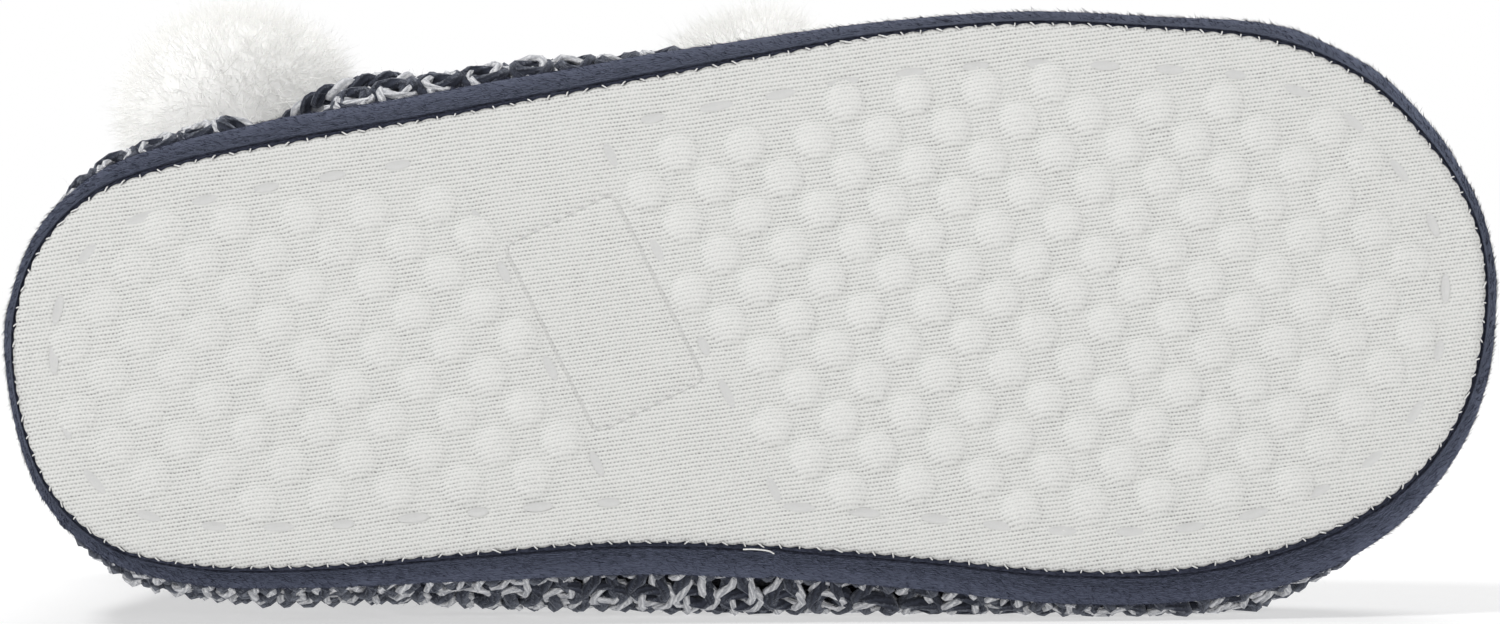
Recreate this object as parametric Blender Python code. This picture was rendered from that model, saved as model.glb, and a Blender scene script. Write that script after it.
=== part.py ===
"""Slipper boot for the right foot, lying on its medial side.

The boot is drawn standing, in millimetres: x runs from the middle of its length to the toe,
y to the medial side and z up from the sole. One empty then lays the whole boot on its side.
"""
import math

import bmesh
import bpy
import numpy as np
from mathutils import Matrix, Vector

MM = 0.001
GAP = 0.3
STATIONS = 56
FLAT_ANGLE = math.radians(0.02)
SHARP_ANGLE = math.radians(35)

# Driving sizes of the sole: thicknesses, the fabric's rolled lip, and the heights of the side's rings
FABRIC_LENGTH = 258.0
SOLE_THICKNESS = 12.0
FABRIC_LIP = 0.9
FABRIC_ROUND = 1.6
LIP_IN_SHARE, LIP_UP_SHARE = 0.35, 0.25
BAND_HEIGHT = 16.5
BAND_THICKNESS = 2.2
BAND_FOOT = 0.2
BAND_ROUNDNESS = 1.1
SIDE_MIDDLE, BAND_SHOULDER = 6.0, 11.5
INSOLE_THICKNESS = 4.0

# How far the sole curves up at heel and toe, in straight stretches
SPRING_COLUMNS = ("x", "rise")
SPRING_SECTIONS = (
    (-131.0, 1.6),
    (-112.0, 0.4),
    (-94.0, 0.0),
    (52.0, 0.0),
    (78.0, 0.5),
    (104.0, 1.9),
    (131.0, 4.2),
)

# Half widths of the sole's fabric, a row for each section from heel (0) to toe (1)
SOLE_COLUMNS = ("share", "medial", "lateral")
SOLE_SECTIONS = (
    (0.00, 0.0, 0.0),
    (0.02, 22.7, 18.5),
    (0.06, 33.0, 28.0),
    (0.12, 37.5, 32.6),
    (0.20, 38.8, 35.4),
    (0.30, 38.2, 38.2),
    (0.40, 37.9, 41.4),
    (0.50, 40.0, 44.6),
    (0.60, 43.6, 47.6),
    (0.70, 47.6, 48.2),
    (0.78, 48.5, 46.2),
    (0.86, 45.2, 43.0),
    (0.92, 39.0, 36.0),
    (0.97, 27.3, 22.2),
    (1.00, 0.0, 0.0),
)

# How far the band's top edge stands out past the fabric, and the knit past the band
FLARE_COLUMNS = ("share", "band_medial", "band_lateral", "knit_medial", "knit_lateral")
FLARE_SECTIONS = (
    (0.00, 2.7, 2.7, 1.2, 0.8),
    (0.04, 4.2, 3.8, 2.4, 1.0),
    (0.10, 5.6, 4.6, 2.0, 1.6),
    (0.22, 6.4, 5.4, 1.6, 5.2),
    (0.34, 6.5, 5.2, 5.2, 4.0),
    (0.46, 6.5, 4.8, 6.4, 1.2),
    (0.60, 6.8, 3.4, 4.6, 0.2),
    (0.70, 7.8, 3.0, 2.4, 0.0),
    (0.78, 8.7, 2.9, 1.2, 0.0),
    (0.88, 7.4, 3.8, 3.8, -0.3),
    (0.95, 4.8, 3.8, 0.8, -0.4),
    (1.00, 3.2, 3.2, -0.4, -0.4),
)

# Rings of the upper from the band to the collar: heights and ends at heel and front, half widths,
# how much of the sole's own outline the ring keeps, and its share of the knit's bulge
UPPER_COLUMNS = (
    "height_back", "height_front", "back", "front", "medial", "lateral", "sole_like", "bulge", "rings",
)
UPPER_SECTIONS = (
    (16.8, 16.8, -128.9, 128.8, 50.0, 46.0, 1.00, 0.00, 1),
    (22.0, 22.5, -130.4, 128.4, 50.0, 46.0, 1.00, 0.75, 1),
    (30.0, 31.0, -131.0, 125.5, 50.0, 46.0, 1.00, 1.00, 2),
    (43.0, 43.0, -130.0, 115.0, 48.0, 45.0, 0.75, 0.80, 2),
    (56.0, 54.0, -128.0, 97.0, 45.0, 43.5, 0.42, 0.40, 2),
    (70.0, 65.0, -126.0, 72.0, 44.0, 39.0, 0.20, 0.00, 2),
    (84.0, 77.0, -124.0, 46.0, 43.5, 34.0, 0.08, 0.00, 2),
    (100.0, 92.0, -122.0, 21.0, 43.0, 31.0, 0.00, 0.00, 2),
    (116.0, 109.0, -121.0, 3.0, 43.0, 29.5, 0.00, 0.00, 2),
    (132.0, 127.0, -120.5, -8.0, 43.0, 28.5, 0.00, 0.00, 1),
    (146.0, 144.0, -120.5, -13.0, 43.5, 26.5, 0.00, 0.00, 1),
    (164.0, 163.0, -121.0, -15.0, 44.0, 25.0, 0.00, 0.00, 0),
)
HEEL_FULLNESS, FRONT_FULLNESS = 0.72, 1.02
WALL = 3.0
HEM_START, HEM_STEP, HEM_PROUD = 10.0, 0.12, 2.2

# The lie of the boot: sole turned a little upward, toe rolled up, and where the band's ball meets the floor
LIE_TILT_DEG = 3.5
LIE_ROLL_DEG = 3.0
CONTACT_X, CONTACT_Y, CONTACT_Z = 72.0, 56.9, 16.5
BOX_CENTRE = (0.25, 80.9)

# Low domes under the heel and the forefoot, on one staggered lattice each
DOME_PITCH, DOME_ROW, DOME_TURN_DEG = 12.0, 6.15, -1.8
DOME_RADIUS, DOME_TOP_RADIUS, DOME_HEIGHT, DOME_ROOT = 3.5, 1.8, 1.0, 0.6
DOME_SIDES = 5
DOME_MARGIN = 9.5
DOME_REACH = 16
WAIST_SLANT_DEG = 22.5
WAIST_BACK, WAIST_FRONT, WAIST_CLEAR = -38.2, -10.3, 1.7
FIELD_COLUMNS = ("start_x", "start_y", "ahead_of_waist")
DOME_FIELDS = {
    "heel": (-34.1, 19.4, False),
    "forefoot": (-16.8, -23.2, True),
}

# Pompoms, a row each: middle, radius
POMPOM_COLUMNS = ("x", "y", "z", "radius")
POMPOMS = {
    "pompom_rear": (-97.0, -47.8, 120.0, 21.5),
    "pompom_front": (-0.5, -42.3, 102.5, 19.0),
}
POMPOM_SUBDIVISIONS = 3
LOCK_LENGTH = 2.4
LOCK_SPACING = 3
POMPOM_FLATTEN = 0.94

# Plaited cords: hand-chosen points on the lateral side, from the knit to the pompom
CORD_RADIUS = 2.6
CORD_BEVEL_RESOLUTION = 2
CORD_STEP, CORD_LEAST_POINTS = 8.0, 4
ROUTE_SAMPLES = 40
CORD_ROUTES = {
    "cord_rear": ((-40.0, -36.5, 86.0), (-44.5, -39.8, 77.0), (-49.0, -43.3, 67.0), (-55.0, -46.4, 55.5),
                  (-63.5, -48.0, 47.0), (-72.5, -46.6, 48.0), (-80.0, -43.0, 56.0), (-85.5, -38.8, 66.5),
                  (-89.5, -35.2, 78.0), (-92.3, -34.0, 89.0), (-94.4, -36.6, 100.4)),
    "cord_front": ((-46.0, -34.3, 95.5), (-39.0, -33.7, 96.3), (-32.0, -32.6, 97.3), (-25.5, -32.0, 98.6),
                   (-18.0, -33.6, 100.4)),
}

# Colours, roughness
FINISHES = {
    "sole_fabric": ((0.66, 0.66, 0.64), 0.90),
    "velour": ((0.045, 0.050, 0.075), 0.95),
    "marled_knit": ((0.10, 0.10, 0.12), 0.95),
    "footbed": ((0.55, 0.55, 0.53), 0.95),
    "pompom_fluff": ((0.88, 0.87, 0.85), 1.00),
    "plaited_cord": ((0.07, 0.075, 0.095), 0.95),
}


def smooth(keys, values, at):
    """A smooth curve through table rows: cubic pieces whose slopes come from the neighbouring rows."""
    keys = np.asarray(keys, dtype=float)
    values = np.asarray(values, dtype=float)
    slopes = np.gradient(values, keys)
    at = np.clip(np.asarray(at, dtype=float), keys[0], keys[-1])
    row = np.clip(np.searchsorted(keys, at, side="right") - 1, 0, len(keys) - 2)
    span = keys[row + 1] - keys[row]
    u = (at - keys[row]) / span
    rise = 3 * u ** 2 - 2 * u ** 3
    start = (u ** 3 - 2 * u ** 2 + u) * span
    end = (u ** 3 - u ** 2) * span
    return values[row] * (1 - rise) + values[row + 1] * rise + slopes[row] * start + slopes[row + 1] * end


def column(rows, columns, name):
    """One named column of a table as an array."""
    return np.array([row[columns.index(name)] for row in rows], dtype=float)


def named(row, columns):
    """One row of a table, by its columns' names."""
    return dict(zip(columns, row))


def turn_angles():
    """Stations round the boot: 0 at the heel, pi at the toe, the medial side first."""
    return np.linspace(0.0, 2 * math.pi, STATIONS, endpoint=False)


def side_angles():
    """The same stations folded onto one side, and which of them are medial."""
    turn = turn_angles()
    medial = turn <= math.pi
    return np.where(medial, turn, 2 * math.pi - turn), medial


def shares():
    """Share of the length from the heel at each station."""
    angle, _ = side_angles()
    return (1 - np.cos(angle)) / 2


def by_side(rows, columns, medial_name, lateral_name):
    """A table's medial and lateral columns read at every station."""
    _, medial = side_angles()
    share = column(rows, columns, "share")
    inner = smooth(share, column(rows, columns, medial_name), shares())
    outer = smooth(share, column(rows, columns, lateral_name), shares())
    return np.where(medial, inner, outer)


def fabric_outline():
    """The sole's fabric edge: half widths are smooth in the turn angle, so heel and toe come out round."""
    angle, medial = side_angles()
    row_angle = np.arccos(1 - 2 * column(SOLE_SECTIONS, SOLE_COLUMNS, "share"))
    inner = smooth(row_angle, column(SOLE_SECTIONS, SOLE_COLUMNS, "medial"), angle)
    outer = smooth(row_angle, column(SOLE_SECTIONS, SOLE_COLUMNS, "lateral"), angle)
    x = FABRIC_LENGTH * (shares() - 0.5)
    return np.column_stack((x, np.where(medial, inner, -outer)))


def outward(ring):
    """Unit normals of a closed plan outline, pointing out."""
    along = np.roll(ring, -1, axis=0) - np.roll(ring, 1, axis=0)
    normal = np.column_stack((-along[:, 1], along[:, 0]))
    return normal / np.linalg.norm(normal, axis=1)[:, None]


def offset_outline(amount):
    """The fabric outline moved out by an amount, one number or one for each station."""
    ring = fabric_outline()
    amount = np.broadcast_to(amount, (STATIONS,))
    return ring + outward(ring) * amount[:, None]


def spring(x):
    """How far the sole curves up at the toe and, less, at the heel."""
    knots = column(SPRING_SECTIONS, SPRING_COLUMNS, "x")
    return np.interp(x, knots, column(SPRING_SECTIONS, SPRING_COLUMNS, "rise"))


def floor_slopes():
    """The floor as a plane in the boot's own frame: how y changes along x and along z."""
    along_x = math.tan(math.radians(LIE_ROLL_DEG))
    along_z = -math.tan(math.radians(LIE_TILT_DEG)) * math.hypot(1.0, along_x)
    return along_x, along_z


def floor_side(x, z):
    """The medial reach of the floor that the boot lies on, at a place along and up the boot."""
    along_x, along_z = floor_slopes()
    return CONTACT_Y + along_x * (x - CONTACT_X) + along_z * (z - CONTACT_Z)


def place(plan, height):
    """A ring of points: plan outline, height above the sole, toe spring, and the floor on the medial side."""
    x = plan[:, 0]
    z = height + spring(x)
    y = np.minimum(plan[:, 1], floor_side(x, z))
    return np.column_stack((x, y, z))


def band_flare():
    """How far the band's top edge stands out past the fabric, at every station."""
    return by_side(FLARE_SECTIONS, FLARE_COLUMNS, "band_medial", "band_lateral")


def side_offset(height):
    """The band's outer face at a height: it leaves the seam steeply and rounds over to its top edge."""
    rise = np.clip(height / BAND_HEIGHT, 0, 1)
    return BAND_FOOT + (band_flare() - BAND_FOOT) * math.sin(rise * math.pi / 2) ** BAND_ROUNDNESS


def mesh_object(name, points, faces, finish, merge_flat=False):
    """A named object from points in millimetres, with its faces turned out and its own material."""
    mesh = bpy.data.meshes.new(name)
    mesh.from_pydata([tuple(MM * value for value in point) for point in points], [], faces)
    tidy = bmesh.new()
    tidy.from_mesh(mesh)
    if all(len(edge.link_faces) == 2 for edge in tidy.edges):
        bmesh.ops.recalc_face_normals(tidy, faces=tidy.faces)
    if merge_flat:
        bmesh.ops.dissolve_limit(tidy, angle_limit=FLAT_ANGLE, verts=tidy.verts, edges=tidy.edges)
    tidy.to_mesh(mesh)
    tidy.free()
    mesh.shade_smooth()
    mesh.set_sharp_from_angle(angle=SHARP_ANGLE)
    mesh.materials.append(material(finish))
    piece = bpy.data.objects.new(name, mesh)
    bpy.context.scene.collection.objects.link(piece)
    return piece


def material(finish):
    """The named finish as a Principled material."""
    found = bpy.data.materials.get(finish)
    if found:
        return found
    colour, roughness = FINISHES[finish]
    made = bpy.data.materials.new(finish)
    made.use_nodes = True
    shader = made.node_tree.nodes["Principled BSDF"]
    shader.inputs["Base Color"].default_value = (*colour, 1.0)
    shader.inputs["Roughness"].default_value = roughness
    return made


def walls(ring_count, closed):
    """Faces between rings of stations, from the first ring up, and back to the first where closed."""
    faces = []
    for ring in range(ring_count if closed else ring_count - 1):
        low = ring * STATIONS
        high = (ring + 1) % ring_count * STATIONS
        for station in range(STATIONS):
            after = (station + 1) % STATIONS
            faces.append((low + station, high + station, high + after, low + after))
    return faces


def cap(first):
    """Strips straight across a ring, from each medial station to the lateral one opposite."""
    faces = []
    half = STATIONS // 2
    for station in range(half):
        corners = [station, station + 1, (STATIONS - station - 1) % STATIONS, (STATIONS - station) % STATIONS]
        distinct = list(dict.fromkeys(corners))
        faces.append(tuple(first + corner for corner in distinct))
    return faces


def capped_stack(name, rings, finish):
    """A closed solid from rings, with strips across its lowest and highest ring."""
    points = np.vstack(rings)
    faces = walls(len(rings), closed=False) + cap(0) + cap((len(rings) - 1) * STATIONS)
    return mesh_object(name, points, faces, finish, merge_flat=True)


def sole_side(height):
    """The outsole's side, just inside the band."""
    return side_offset(height) - BAND_THICKNESS - GAP


def build_outsole():
    """Foam sole in its fabric: flat bottom with a rolled lip, and a side that flares under the band."""
    heights = (FABRIC_LIP, SIDE_MIDDLE, SOLE_THICKNESS)
    rings = [
        place(offset_outline(-FABRIC_ROUND), 0.0),
        place(offset_outline(-LIP_IN_SHARE * FABRIC_ROUND), LIP_UP_SHARE * FABRIC_LIP),
        place(offset_outline(0.0), FABRIC_LIP),
    ]
    rings += [place(offset_outline(sole_side(height)), height) for height in heights]
    outsole = capped_stack("outsole", rings, "sole_fabric")
    join = outsole.modifiers.new("domes", "BOOLEAN")
    join.operation = "UNION"
    join.solver = "EXACT"
    join.object = build_dome_field()
    return outsole


def waist_lean(y):
    """How far the slanted waist runs forward at a distance to the medial side."""
    return y * math.tan(math.radians(WAIST_SLANT_DEG))


def inside_margin(x, y):
    """True where a dome's middle keeps its margin to the fabric edge."""
    edge = offset_outline(-DOME_MARGIN)
    after = np.roll(edge, -1, axis=0)
    crosses = (edge[:, 1] > y) != (after[:, 1] > y)
    level = np.where(crosses, after[:, 1] - edge[:, 1], 1.0)
    reach = edge[:, 0] + (y - edge[:, 1]) / level * (after[:, 0] - edge[:, 0])
    return np.count_nonzero(crosses & (x < reach)) % 2 == 1


def dome_middles():
    """Middles of all domes: lattice points of each field, inside the margin and clear of the waist."""
    turn = math.radians(DOME_TURN_DEG)
    middles = []
    for field_row in DOME_FIELDS.values():
        field = named(field_row, FIELD_COLUMNS)
        for row in range(-DOME_REACH, DOME_REACH + 1):
            for step in range(-DOME_REACH, DOME_REACH + 1):
                along = DOME_PITCH * (step + 0.5 * (row % 2))
                across = DOME_ROW * row
                x = field["start_x"] + along * math.cos(turn) - across * math.sin(turn)
                y = field["start_y"] + along * math.sin(turn) + across * math.cos(turn)
                if field["ahead_of_waist"]:
                    in_field = x - waist_lean(y) > WAIST_FRONT + WAIST_CLEAR
                else:
                    in_field = x - waist_lean(y) < WAIST_BACK - WAIST_CLEAR
                if in_field and inside_margin(x, y):
                    middles.append((x, y))
    return middles


def build_dome_field():
    """All domes as one hidden helper: low five-sided caps rooted in the sole."""
    points = []
    faces = []
    for x, y in dome_middles():
        first = len(points)
        base = float(spring(x))
        levels = ((DOME_RADIUS, base + DOME_ROOT), (DOME_RADIUS, base), (DOME_TOP_RADIUS, base - DOME_HEIGHT))
        for radius, z in levels:
            for side in range(DOME_SIDES):
                turn = 2 * math.pi * side / DOME_SIDES
                points.append((x + radius * math.cos(turn), y + radius * math.sin(turn), z))
        for level in range(len(levels) - 1):
            for side in range(DOME_SIDES):
                low = first + level * DOME_SIDES
                after = (side + 1) % DOME_SIDES
                faces.append((low + side, low + after, low + DOME_SIDES + after, low + DOME_SIDES + side))
        faces.append(tuple(first + side for side in range(DOME_SIDES)))
        last = first + (len(levels) - 1) * DOME_SIDES
        faces.append(tuple(last + side for side in range(DOME_SIDES)))
    field = mesh_object("dome_field", points, faces, "sole_fabric")
    field.hide_render = True
    field.display_type = "WIRE"
    return field


def build_side_band():
    """Velour band: a ring with a rounded outer face, sitting on the fabric's lip."""
    bottom = FABRIC_LIP + GAP
    outer_heights = (bottom, SIDE_MIDDLE, BAND_SHOULDER, BAND_HEIGHT)
    outer = [place(offset_outline(side_offset(height)), height) for height in outer_heights]
    inner_heights = (BAND_HEIGHT, SOLE_THICKNESS, SIDE_MIDDLE, bottom)
    inner = [place(offset_outline(side_offset(height) - BAND_THICKNESS), height) for height in inner_heights]
    rings = outer + inner
    return mesh_object("side_band", np.vstack(rings), walls(len(rings), closed=True), "velour")


def build_insole():
    """Footbed on the outsole, clear of the band."""
    bottom = SOLE_THICKNESS + GAP
    plan = offset_outline(sole_side(SOLE_THICKNESS))
    rings = [place(plan, bottom), place(plan, bottom + INSOLE_THICKNESS)]
    return capped_stack("insole", rings, "footbed")


def upper_value(name, position):
    """One column of the upper's table at a position counted in rows."""
    rows = column(UPPER_SECTIONS, UPPER_COLUMNS, name)
    return float(smooth(np.arange(len(rows)), rows, position))


def upper_ring(position, proud=0.0):
    """One ring of the upper: the sole's outline low down, a round shaft higher up, a blend between."""
    angle, medial = side_angles()
    share = shares()
    back = upper_value("back", position)
    front = upper_value("front", position)
    knit = by_side(FLARE_SECTIONS, FLARE_COLUMNS, "knit_medial", "knit_lateral")
    low = offset_outline(band_flare() + knit * upper_value("bulge", position))
    low_share = (low[:, 0] - low[:, 0].min()) / np.ptp(low[:, 0])
    fullness = HEEL_FULLNESS + (FRONT_FULLNESS - HEEL_FULLNESS) * share
    reach = np.abs(np.sin(angle)) ** fullness
    half = np.where(medial, upper_value("medial", position), -upper_value("lateral", position))
    sole_like = upper_value("sole_like", position)
    x = back + (front - back) * (sole_like * low_share + (1 - sole_like) * share)
    y = sole_like * low[:, 1] + (1 - sole_like) * half * reach
    plan = np.column_stack((x, y))
    plan += outward(plan) * proud
    height = upper_value("height_back", position)
    height = height + (upper_value("height_front", position) - height) * share
    return place(plan, height)


def upper_positions():
    """Ring positions in table rows, with how far each stands proud: the hem steps out near the collar."""
    positions = []
    for row, steps in enumerate(column(UPPER_SECTIONS, UPPER_COLUMNS, "rings").astype(int)):
        positions += [(row + step / steps, 0.0) for step in range(steps)]
    last = len(UPPER_SECTIONS) - 1
    hem = [(HEM_START + HEM_STEP, HEM_PROUD), ((HEM_START + last) / 2, HEM_PROUD), (last, HEM_PROUD)]
    return positions + hem


def build_upper():
    """The knitted boot: rings from the band to the collar, given a wall on the inside."""
    rings = [upper_ring(position, proud) for position, proud in upper_positions()]
    upper = mesh_object("upper", np.vstack(rings), walls(len(rings), closed=False), "marled_knit")
    wall = upper.modifiers.new("wall", "SOLIDIFY")
    wall.thickness = WALL * MM
    wall.offset = -1.0
    wall.use_even_offset = False
    wall.use_rim = True
    return upper


def build_pompom(name):
    """Pompom: a round core with every third point of its surface drawn out into a lock."""
    size = named(POMPOMS[name], POMPOM_COLUMNS)
    shape = bmesh.new()
    bmesh.ops.create_icosphere(shape, subdivisions=POMPOM_SUBDIVISIONS, radius=size["radius"] * MM)
    for index, vertex in enumerate(shape.verts):
        if index % LOCK_SPACING == 0:
            vertex.co += vertex.co.normalized() * LOCK_LENGTH * MM
        vertex.co.y *= POMPOM_FLATTEN
    mesh = bpy.data.meshes.new(name)
    shape.to_mesh(mesh)
    shape.free()
    mesh.shade_smooth()
    mesh.materials.append(material("pompom_fluff"))
    pompom = bpy.data.objects.new(name, mesh)
    pompom.location = Vector((size["x"], size["y"], size["z"])) * MM
    bpy.context.scene.collection.objects.link(pompom)
    return pompom


def even_route(points):
    """Evenly spaced points on a smooth curve through a cord's route."""
    points = np.asarray(points, dtype=float)
    keys = np.arange(len(points))
    fine = np.linspace(0, len(points) - 1, ROUTE_SAMPLES * len(points))
    curve = np.column_stack([smooth(keys, points[:, axis], fine) for axis in range(3)])
    run = np.concatenate(([0.0], np.cumsum(np.linalg.norm(np.diff(curve, axis=0), axis=1))))
    count = max(CORD_LEAST_POINTS, int(round(run[-1] / CORD_STEP)) + 1)
    even = np.linspace(0.0, run[-1], count)
    return np.column_stack([np.interp(even, run, curve[:, axis]) for axis in range(3)])


def build_cord(name):
    """Plaited cord, drawn as a plain round tube along its route."""
    route = even_route(CORD_ROUTES[name])
    curve = bpy.data.curves.new(name, "CURVE")
    curve.dimensions = "3D"
    curve.bevel_depth = CORD_RADIUS * MM
    curve.bevel_resolution = CORD_BEVEL_RESOLUTION
    curve.use_fill_caps = True
    spline = curve.splines.new("POLY")
    spline.points.add(len(route) - 1)
    for point, spot in zip(spline.points, route):
        point.co = (*(spot * MM), 1.0)
    curve.materials.append(material("plaited_cord"))
    cord = bpy.data.objects.new(name, curve)
    bpy.context.scene.collection.objects.link(cord)
    return cord


def lay_down(pieces):
    """Lay the boot on its medial side: the floor plane of the boot's frame becomes z = 0."""
    along_x, along_z = floor_slopes()
    lift = floor_side(0.0, 0.0) / math.sqrt(1 + along_x ** 2 + along_z ** 2)
    lie = bpy.data.objects.new("lie", None)
    bpy.context.scene.collection.objects.link(lie)
    tilt = Matrix.Rotation(-math.radians(90 + LIE_TILT_DEG), 4, "X")
    roll = Matrix.Rotation(-math.radians(LIE_ROLL_DEG), 4, "Z")
    shift = Matrix.Translation(Vector((-BOX_CENTRE[0], -BOX_CENTRE[1], lift)) * MM)
    lie.matrix_world = shift @ tilt @ roll
    for piece in pieces:
        piece.parent = lie
        for modifier in piece.modifiers:
            if modifier.type == "BOOLEAN":
                modifier.object.parent = lie


def main():
    for old in list(bpy.data.objects):
        bpy.data.objects.remove(old, do_unlink=True)
    pieces = [build_outsole(), build_side_band(), build_upper(), build_insole()]
    pieces += [build_pompom(name) for name in POMPOMS]
    pieces += [build_cord(name) for name in CORD_ROUTES]
    lay_down(pieces)


main()
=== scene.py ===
"""Looks of the lying slipper boot: sole fabric, velour band, marled knit, pompoms, cords, light and camera.

Sizes are in millimetres in the boot's own frame, as in the part's source: x runs from the middle of its
length to the toe, y to the medial side and z up from the sole. Each piece is drawn in that frame and laid on
its side by one matrix; materials that follow the boot undo that matrix first.
"""
import math

import bmesh
import bpy
import numpy as np
from mathutils import Matrix, Vector


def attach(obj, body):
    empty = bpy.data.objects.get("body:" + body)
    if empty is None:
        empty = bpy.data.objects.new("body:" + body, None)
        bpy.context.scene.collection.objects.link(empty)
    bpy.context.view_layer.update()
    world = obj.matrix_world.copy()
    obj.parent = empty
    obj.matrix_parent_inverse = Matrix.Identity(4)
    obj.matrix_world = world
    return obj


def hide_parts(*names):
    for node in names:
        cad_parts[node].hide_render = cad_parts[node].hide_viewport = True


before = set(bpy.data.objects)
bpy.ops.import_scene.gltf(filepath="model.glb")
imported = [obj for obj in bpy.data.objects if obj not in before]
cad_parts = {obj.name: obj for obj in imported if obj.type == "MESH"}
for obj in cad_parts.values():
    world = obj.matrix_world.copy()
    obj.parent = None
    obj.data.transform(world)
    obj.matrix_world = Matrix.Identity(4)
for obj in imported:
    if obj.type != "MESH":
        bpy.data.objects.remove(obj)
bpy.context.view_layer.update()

MM = 0.001
RANDOM = np.random.default_rng(11)


def table(columns, *rows):
    """A table's columns as arrays, by name."""
    return dict(zip(columns.split(), np.array(rows, dtype=float).T))


# The lie of the boot on its medial side, as in the part's source
LIE_TILT_DEG, LIE_ROLL_DEG = 3.5, 3.0
CONTACT_X, CONTACT_Y, CONTACT_Z = 72.0, 56.9, 16.5
BOX_CENTRE = (0.25, 80.9)

# Driving sizes of the sole
FABRIC_LENGTH, SOLE_THICKNESS, INSOLE_THICKNESS, GAP = 258.0, 12.0, 4.0, 0.3
FABRIC_LIP, FABRIC_ROUND = 0.9, 1.6
BAND_HEIGHT, BAND_THICKNESS = 16.5, 2.2
BAND_FOOT, BAND_ROUNDNESS = 0.2, 1.1

# How far the sole curves up at heel and toe
SPRING = table(
    "x rise",
    (-131.0, 1.6), (-112.0, 0.4), (-94.0, 0.0), (52.0, 0.0), (78.0, 0.5), (104.0, 1.9), (131.0, 4.2),
)
SPRING_BLUR = np.linspace(-9.0, 9.0, 7)

# Half widths of the sole's fabric, from heel (0) to toe (1)
SOLE = table(
    "share medial lateral",
    (0.00, 0.0, 0.0),
    (0.02, 22.7, 18.5),
    (0.06, 33.0, 28.0),
    (0.12, 37.5, 32.6),
    (0.20, 38.8, 35.4),
    (0.30, 38.2, 38.2),
    (0.40, 37.9, 41.4),
    (0.50, 40.0, 44.6),
    (0.60, 43.6, 47.6),
    (0.70, 47.6, 48.2),
    (0.78, 48.5, 46.2),
    (0.86, 45.2, 43.0),
    (0.92, 39.0, 36.0),
    (0.97, 27.3, 22.2),
    (1.00, 0.0, 0.0),
)

# How far the side stands out past the fabric, the knit past the side, and how high the velour shows
FLARE = table(
    "share band_medial band_lateral knit_medial knit_lateral velour_medial velour_lateral",
    (0.00, 2.7, 2.7, 1.4, 1.4, 14.0, 14.0),
    (0.04, 4.2, 3.8, 1.8, 2.6, 9.0, 16.5),
    (0.10, 5.6, 4.6, 0.9, 3.2, 8.0, 16.5),
    (0.22, 6.4, 5.4, 0.9, 3.6, 8.2, 16.5),
    (0.34, 6.5, 5.2, 4.6, 3.8, 11.8, 16.5),
    (0.46, 6.5, 4.8, 6.4, 0.8, 13.2, 16.5),
    (0.60, 6.8, 3.4, 4.6, 0.2, 11.6, 16.5),
    (0.70, 7.8, 3.0, 2.8, 0.0, 10.0, 16.5),
    (0.78, 8.7, 2.9, 1.8, 0.0, 9.0, 16.5),
    (0.88, 7.4, 3.8, 2.0, -0.3, 13.0, 16.5),
    (0.95, 4.8, 3.8, 0.2, -0.4, 15.8, 16.5),
    (1.00, 3.2, 3.2, -0.4, -0.4, 16.5, 16.5),
)

# Rings of the upper from the band to the collar
UPPER = table(
    "height_back height_front back front medial lateral sole_like bulge",
    (16.8, 16.8, -128.9, 128.8, 50.0, 46.0, 1.00, 0.00),
    (22.0, 22.5, -130.4, 128.4, 50.0, 46.0, 1.00, 0.75),
    (30.0, 31.0, -131.0, 125.5, 50.0, 46.0, 1.00, 1.00),
    (43.0, 43.0, -130.0, 115.0, 48.0, 45.0, 0.75, 0.80),
    (56.0, 54.0, -128.0, 97.0, 45.0, 43.5, 0.42, 0.40),
    (70.0, 65.0, -126.0, 72.0, 44.0, 39.0, 0.20, 0.00),
    (84.0, 77.0, -124.0, 46.0, 43.5, 34.0, 0.08, 0.00),
    (100.0, 92.0, -122.0, 21.0, 43.0, 31.0, 0.00, 0.00),
    (116.0, 109.0, -121.0, 3.0, 43.0, 29.5, 0.00, 0.00),
    (132.0, 127.0, -120.5, -8.0, 43.0, 28.5, 0.00, 0.00),
    (146.0, 144.0, -120.5, -13.0, 43.5, 26.5, 0.00, 0.00),
    (164.0, 163.0, -121.0, -15.0, 44.0, 25.0, 0.00, 0.00),
)
COLLAR = len(UPPER["back"]) - 1
HEEL_FULLNESS, FRONT_FULLNESS = 0.72, 1.02
HEM_START, HEM_STEP, HEM_PROUD = 10.0, 0.12, 2.2

# Soft creases of the slack knit: place in turns round the boot (0 heel, 0.5 toe) and in rows of the upper's
# table, half lengths both ways, slope, and depth, negative for a ridge
CREASES = (
    (0.50, 7.15, 0.17, 0.30, 0.0, 2.6),
    (0.50, 7.75, 0.15, 0.28, 0.0, -1.3),
    (0.52, 8.35, 0.13, 0.26, 1.5, 1.9),
    (0.78, 7.60, 0.10, 0.30, -4.0, 1.8),
    (0.70, 5.60, 0.08, 0.40, 3.0, 1.3),
    (0.86, 9.10, 0.10, 0.30, 2.0, 1.6),
    (0.14, 8.60, 0.09, 0.30, -2.0, 1.5),
    (0.30, 6.60, 0.08, 0.35, -3.0, 1.6),
)

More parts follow.
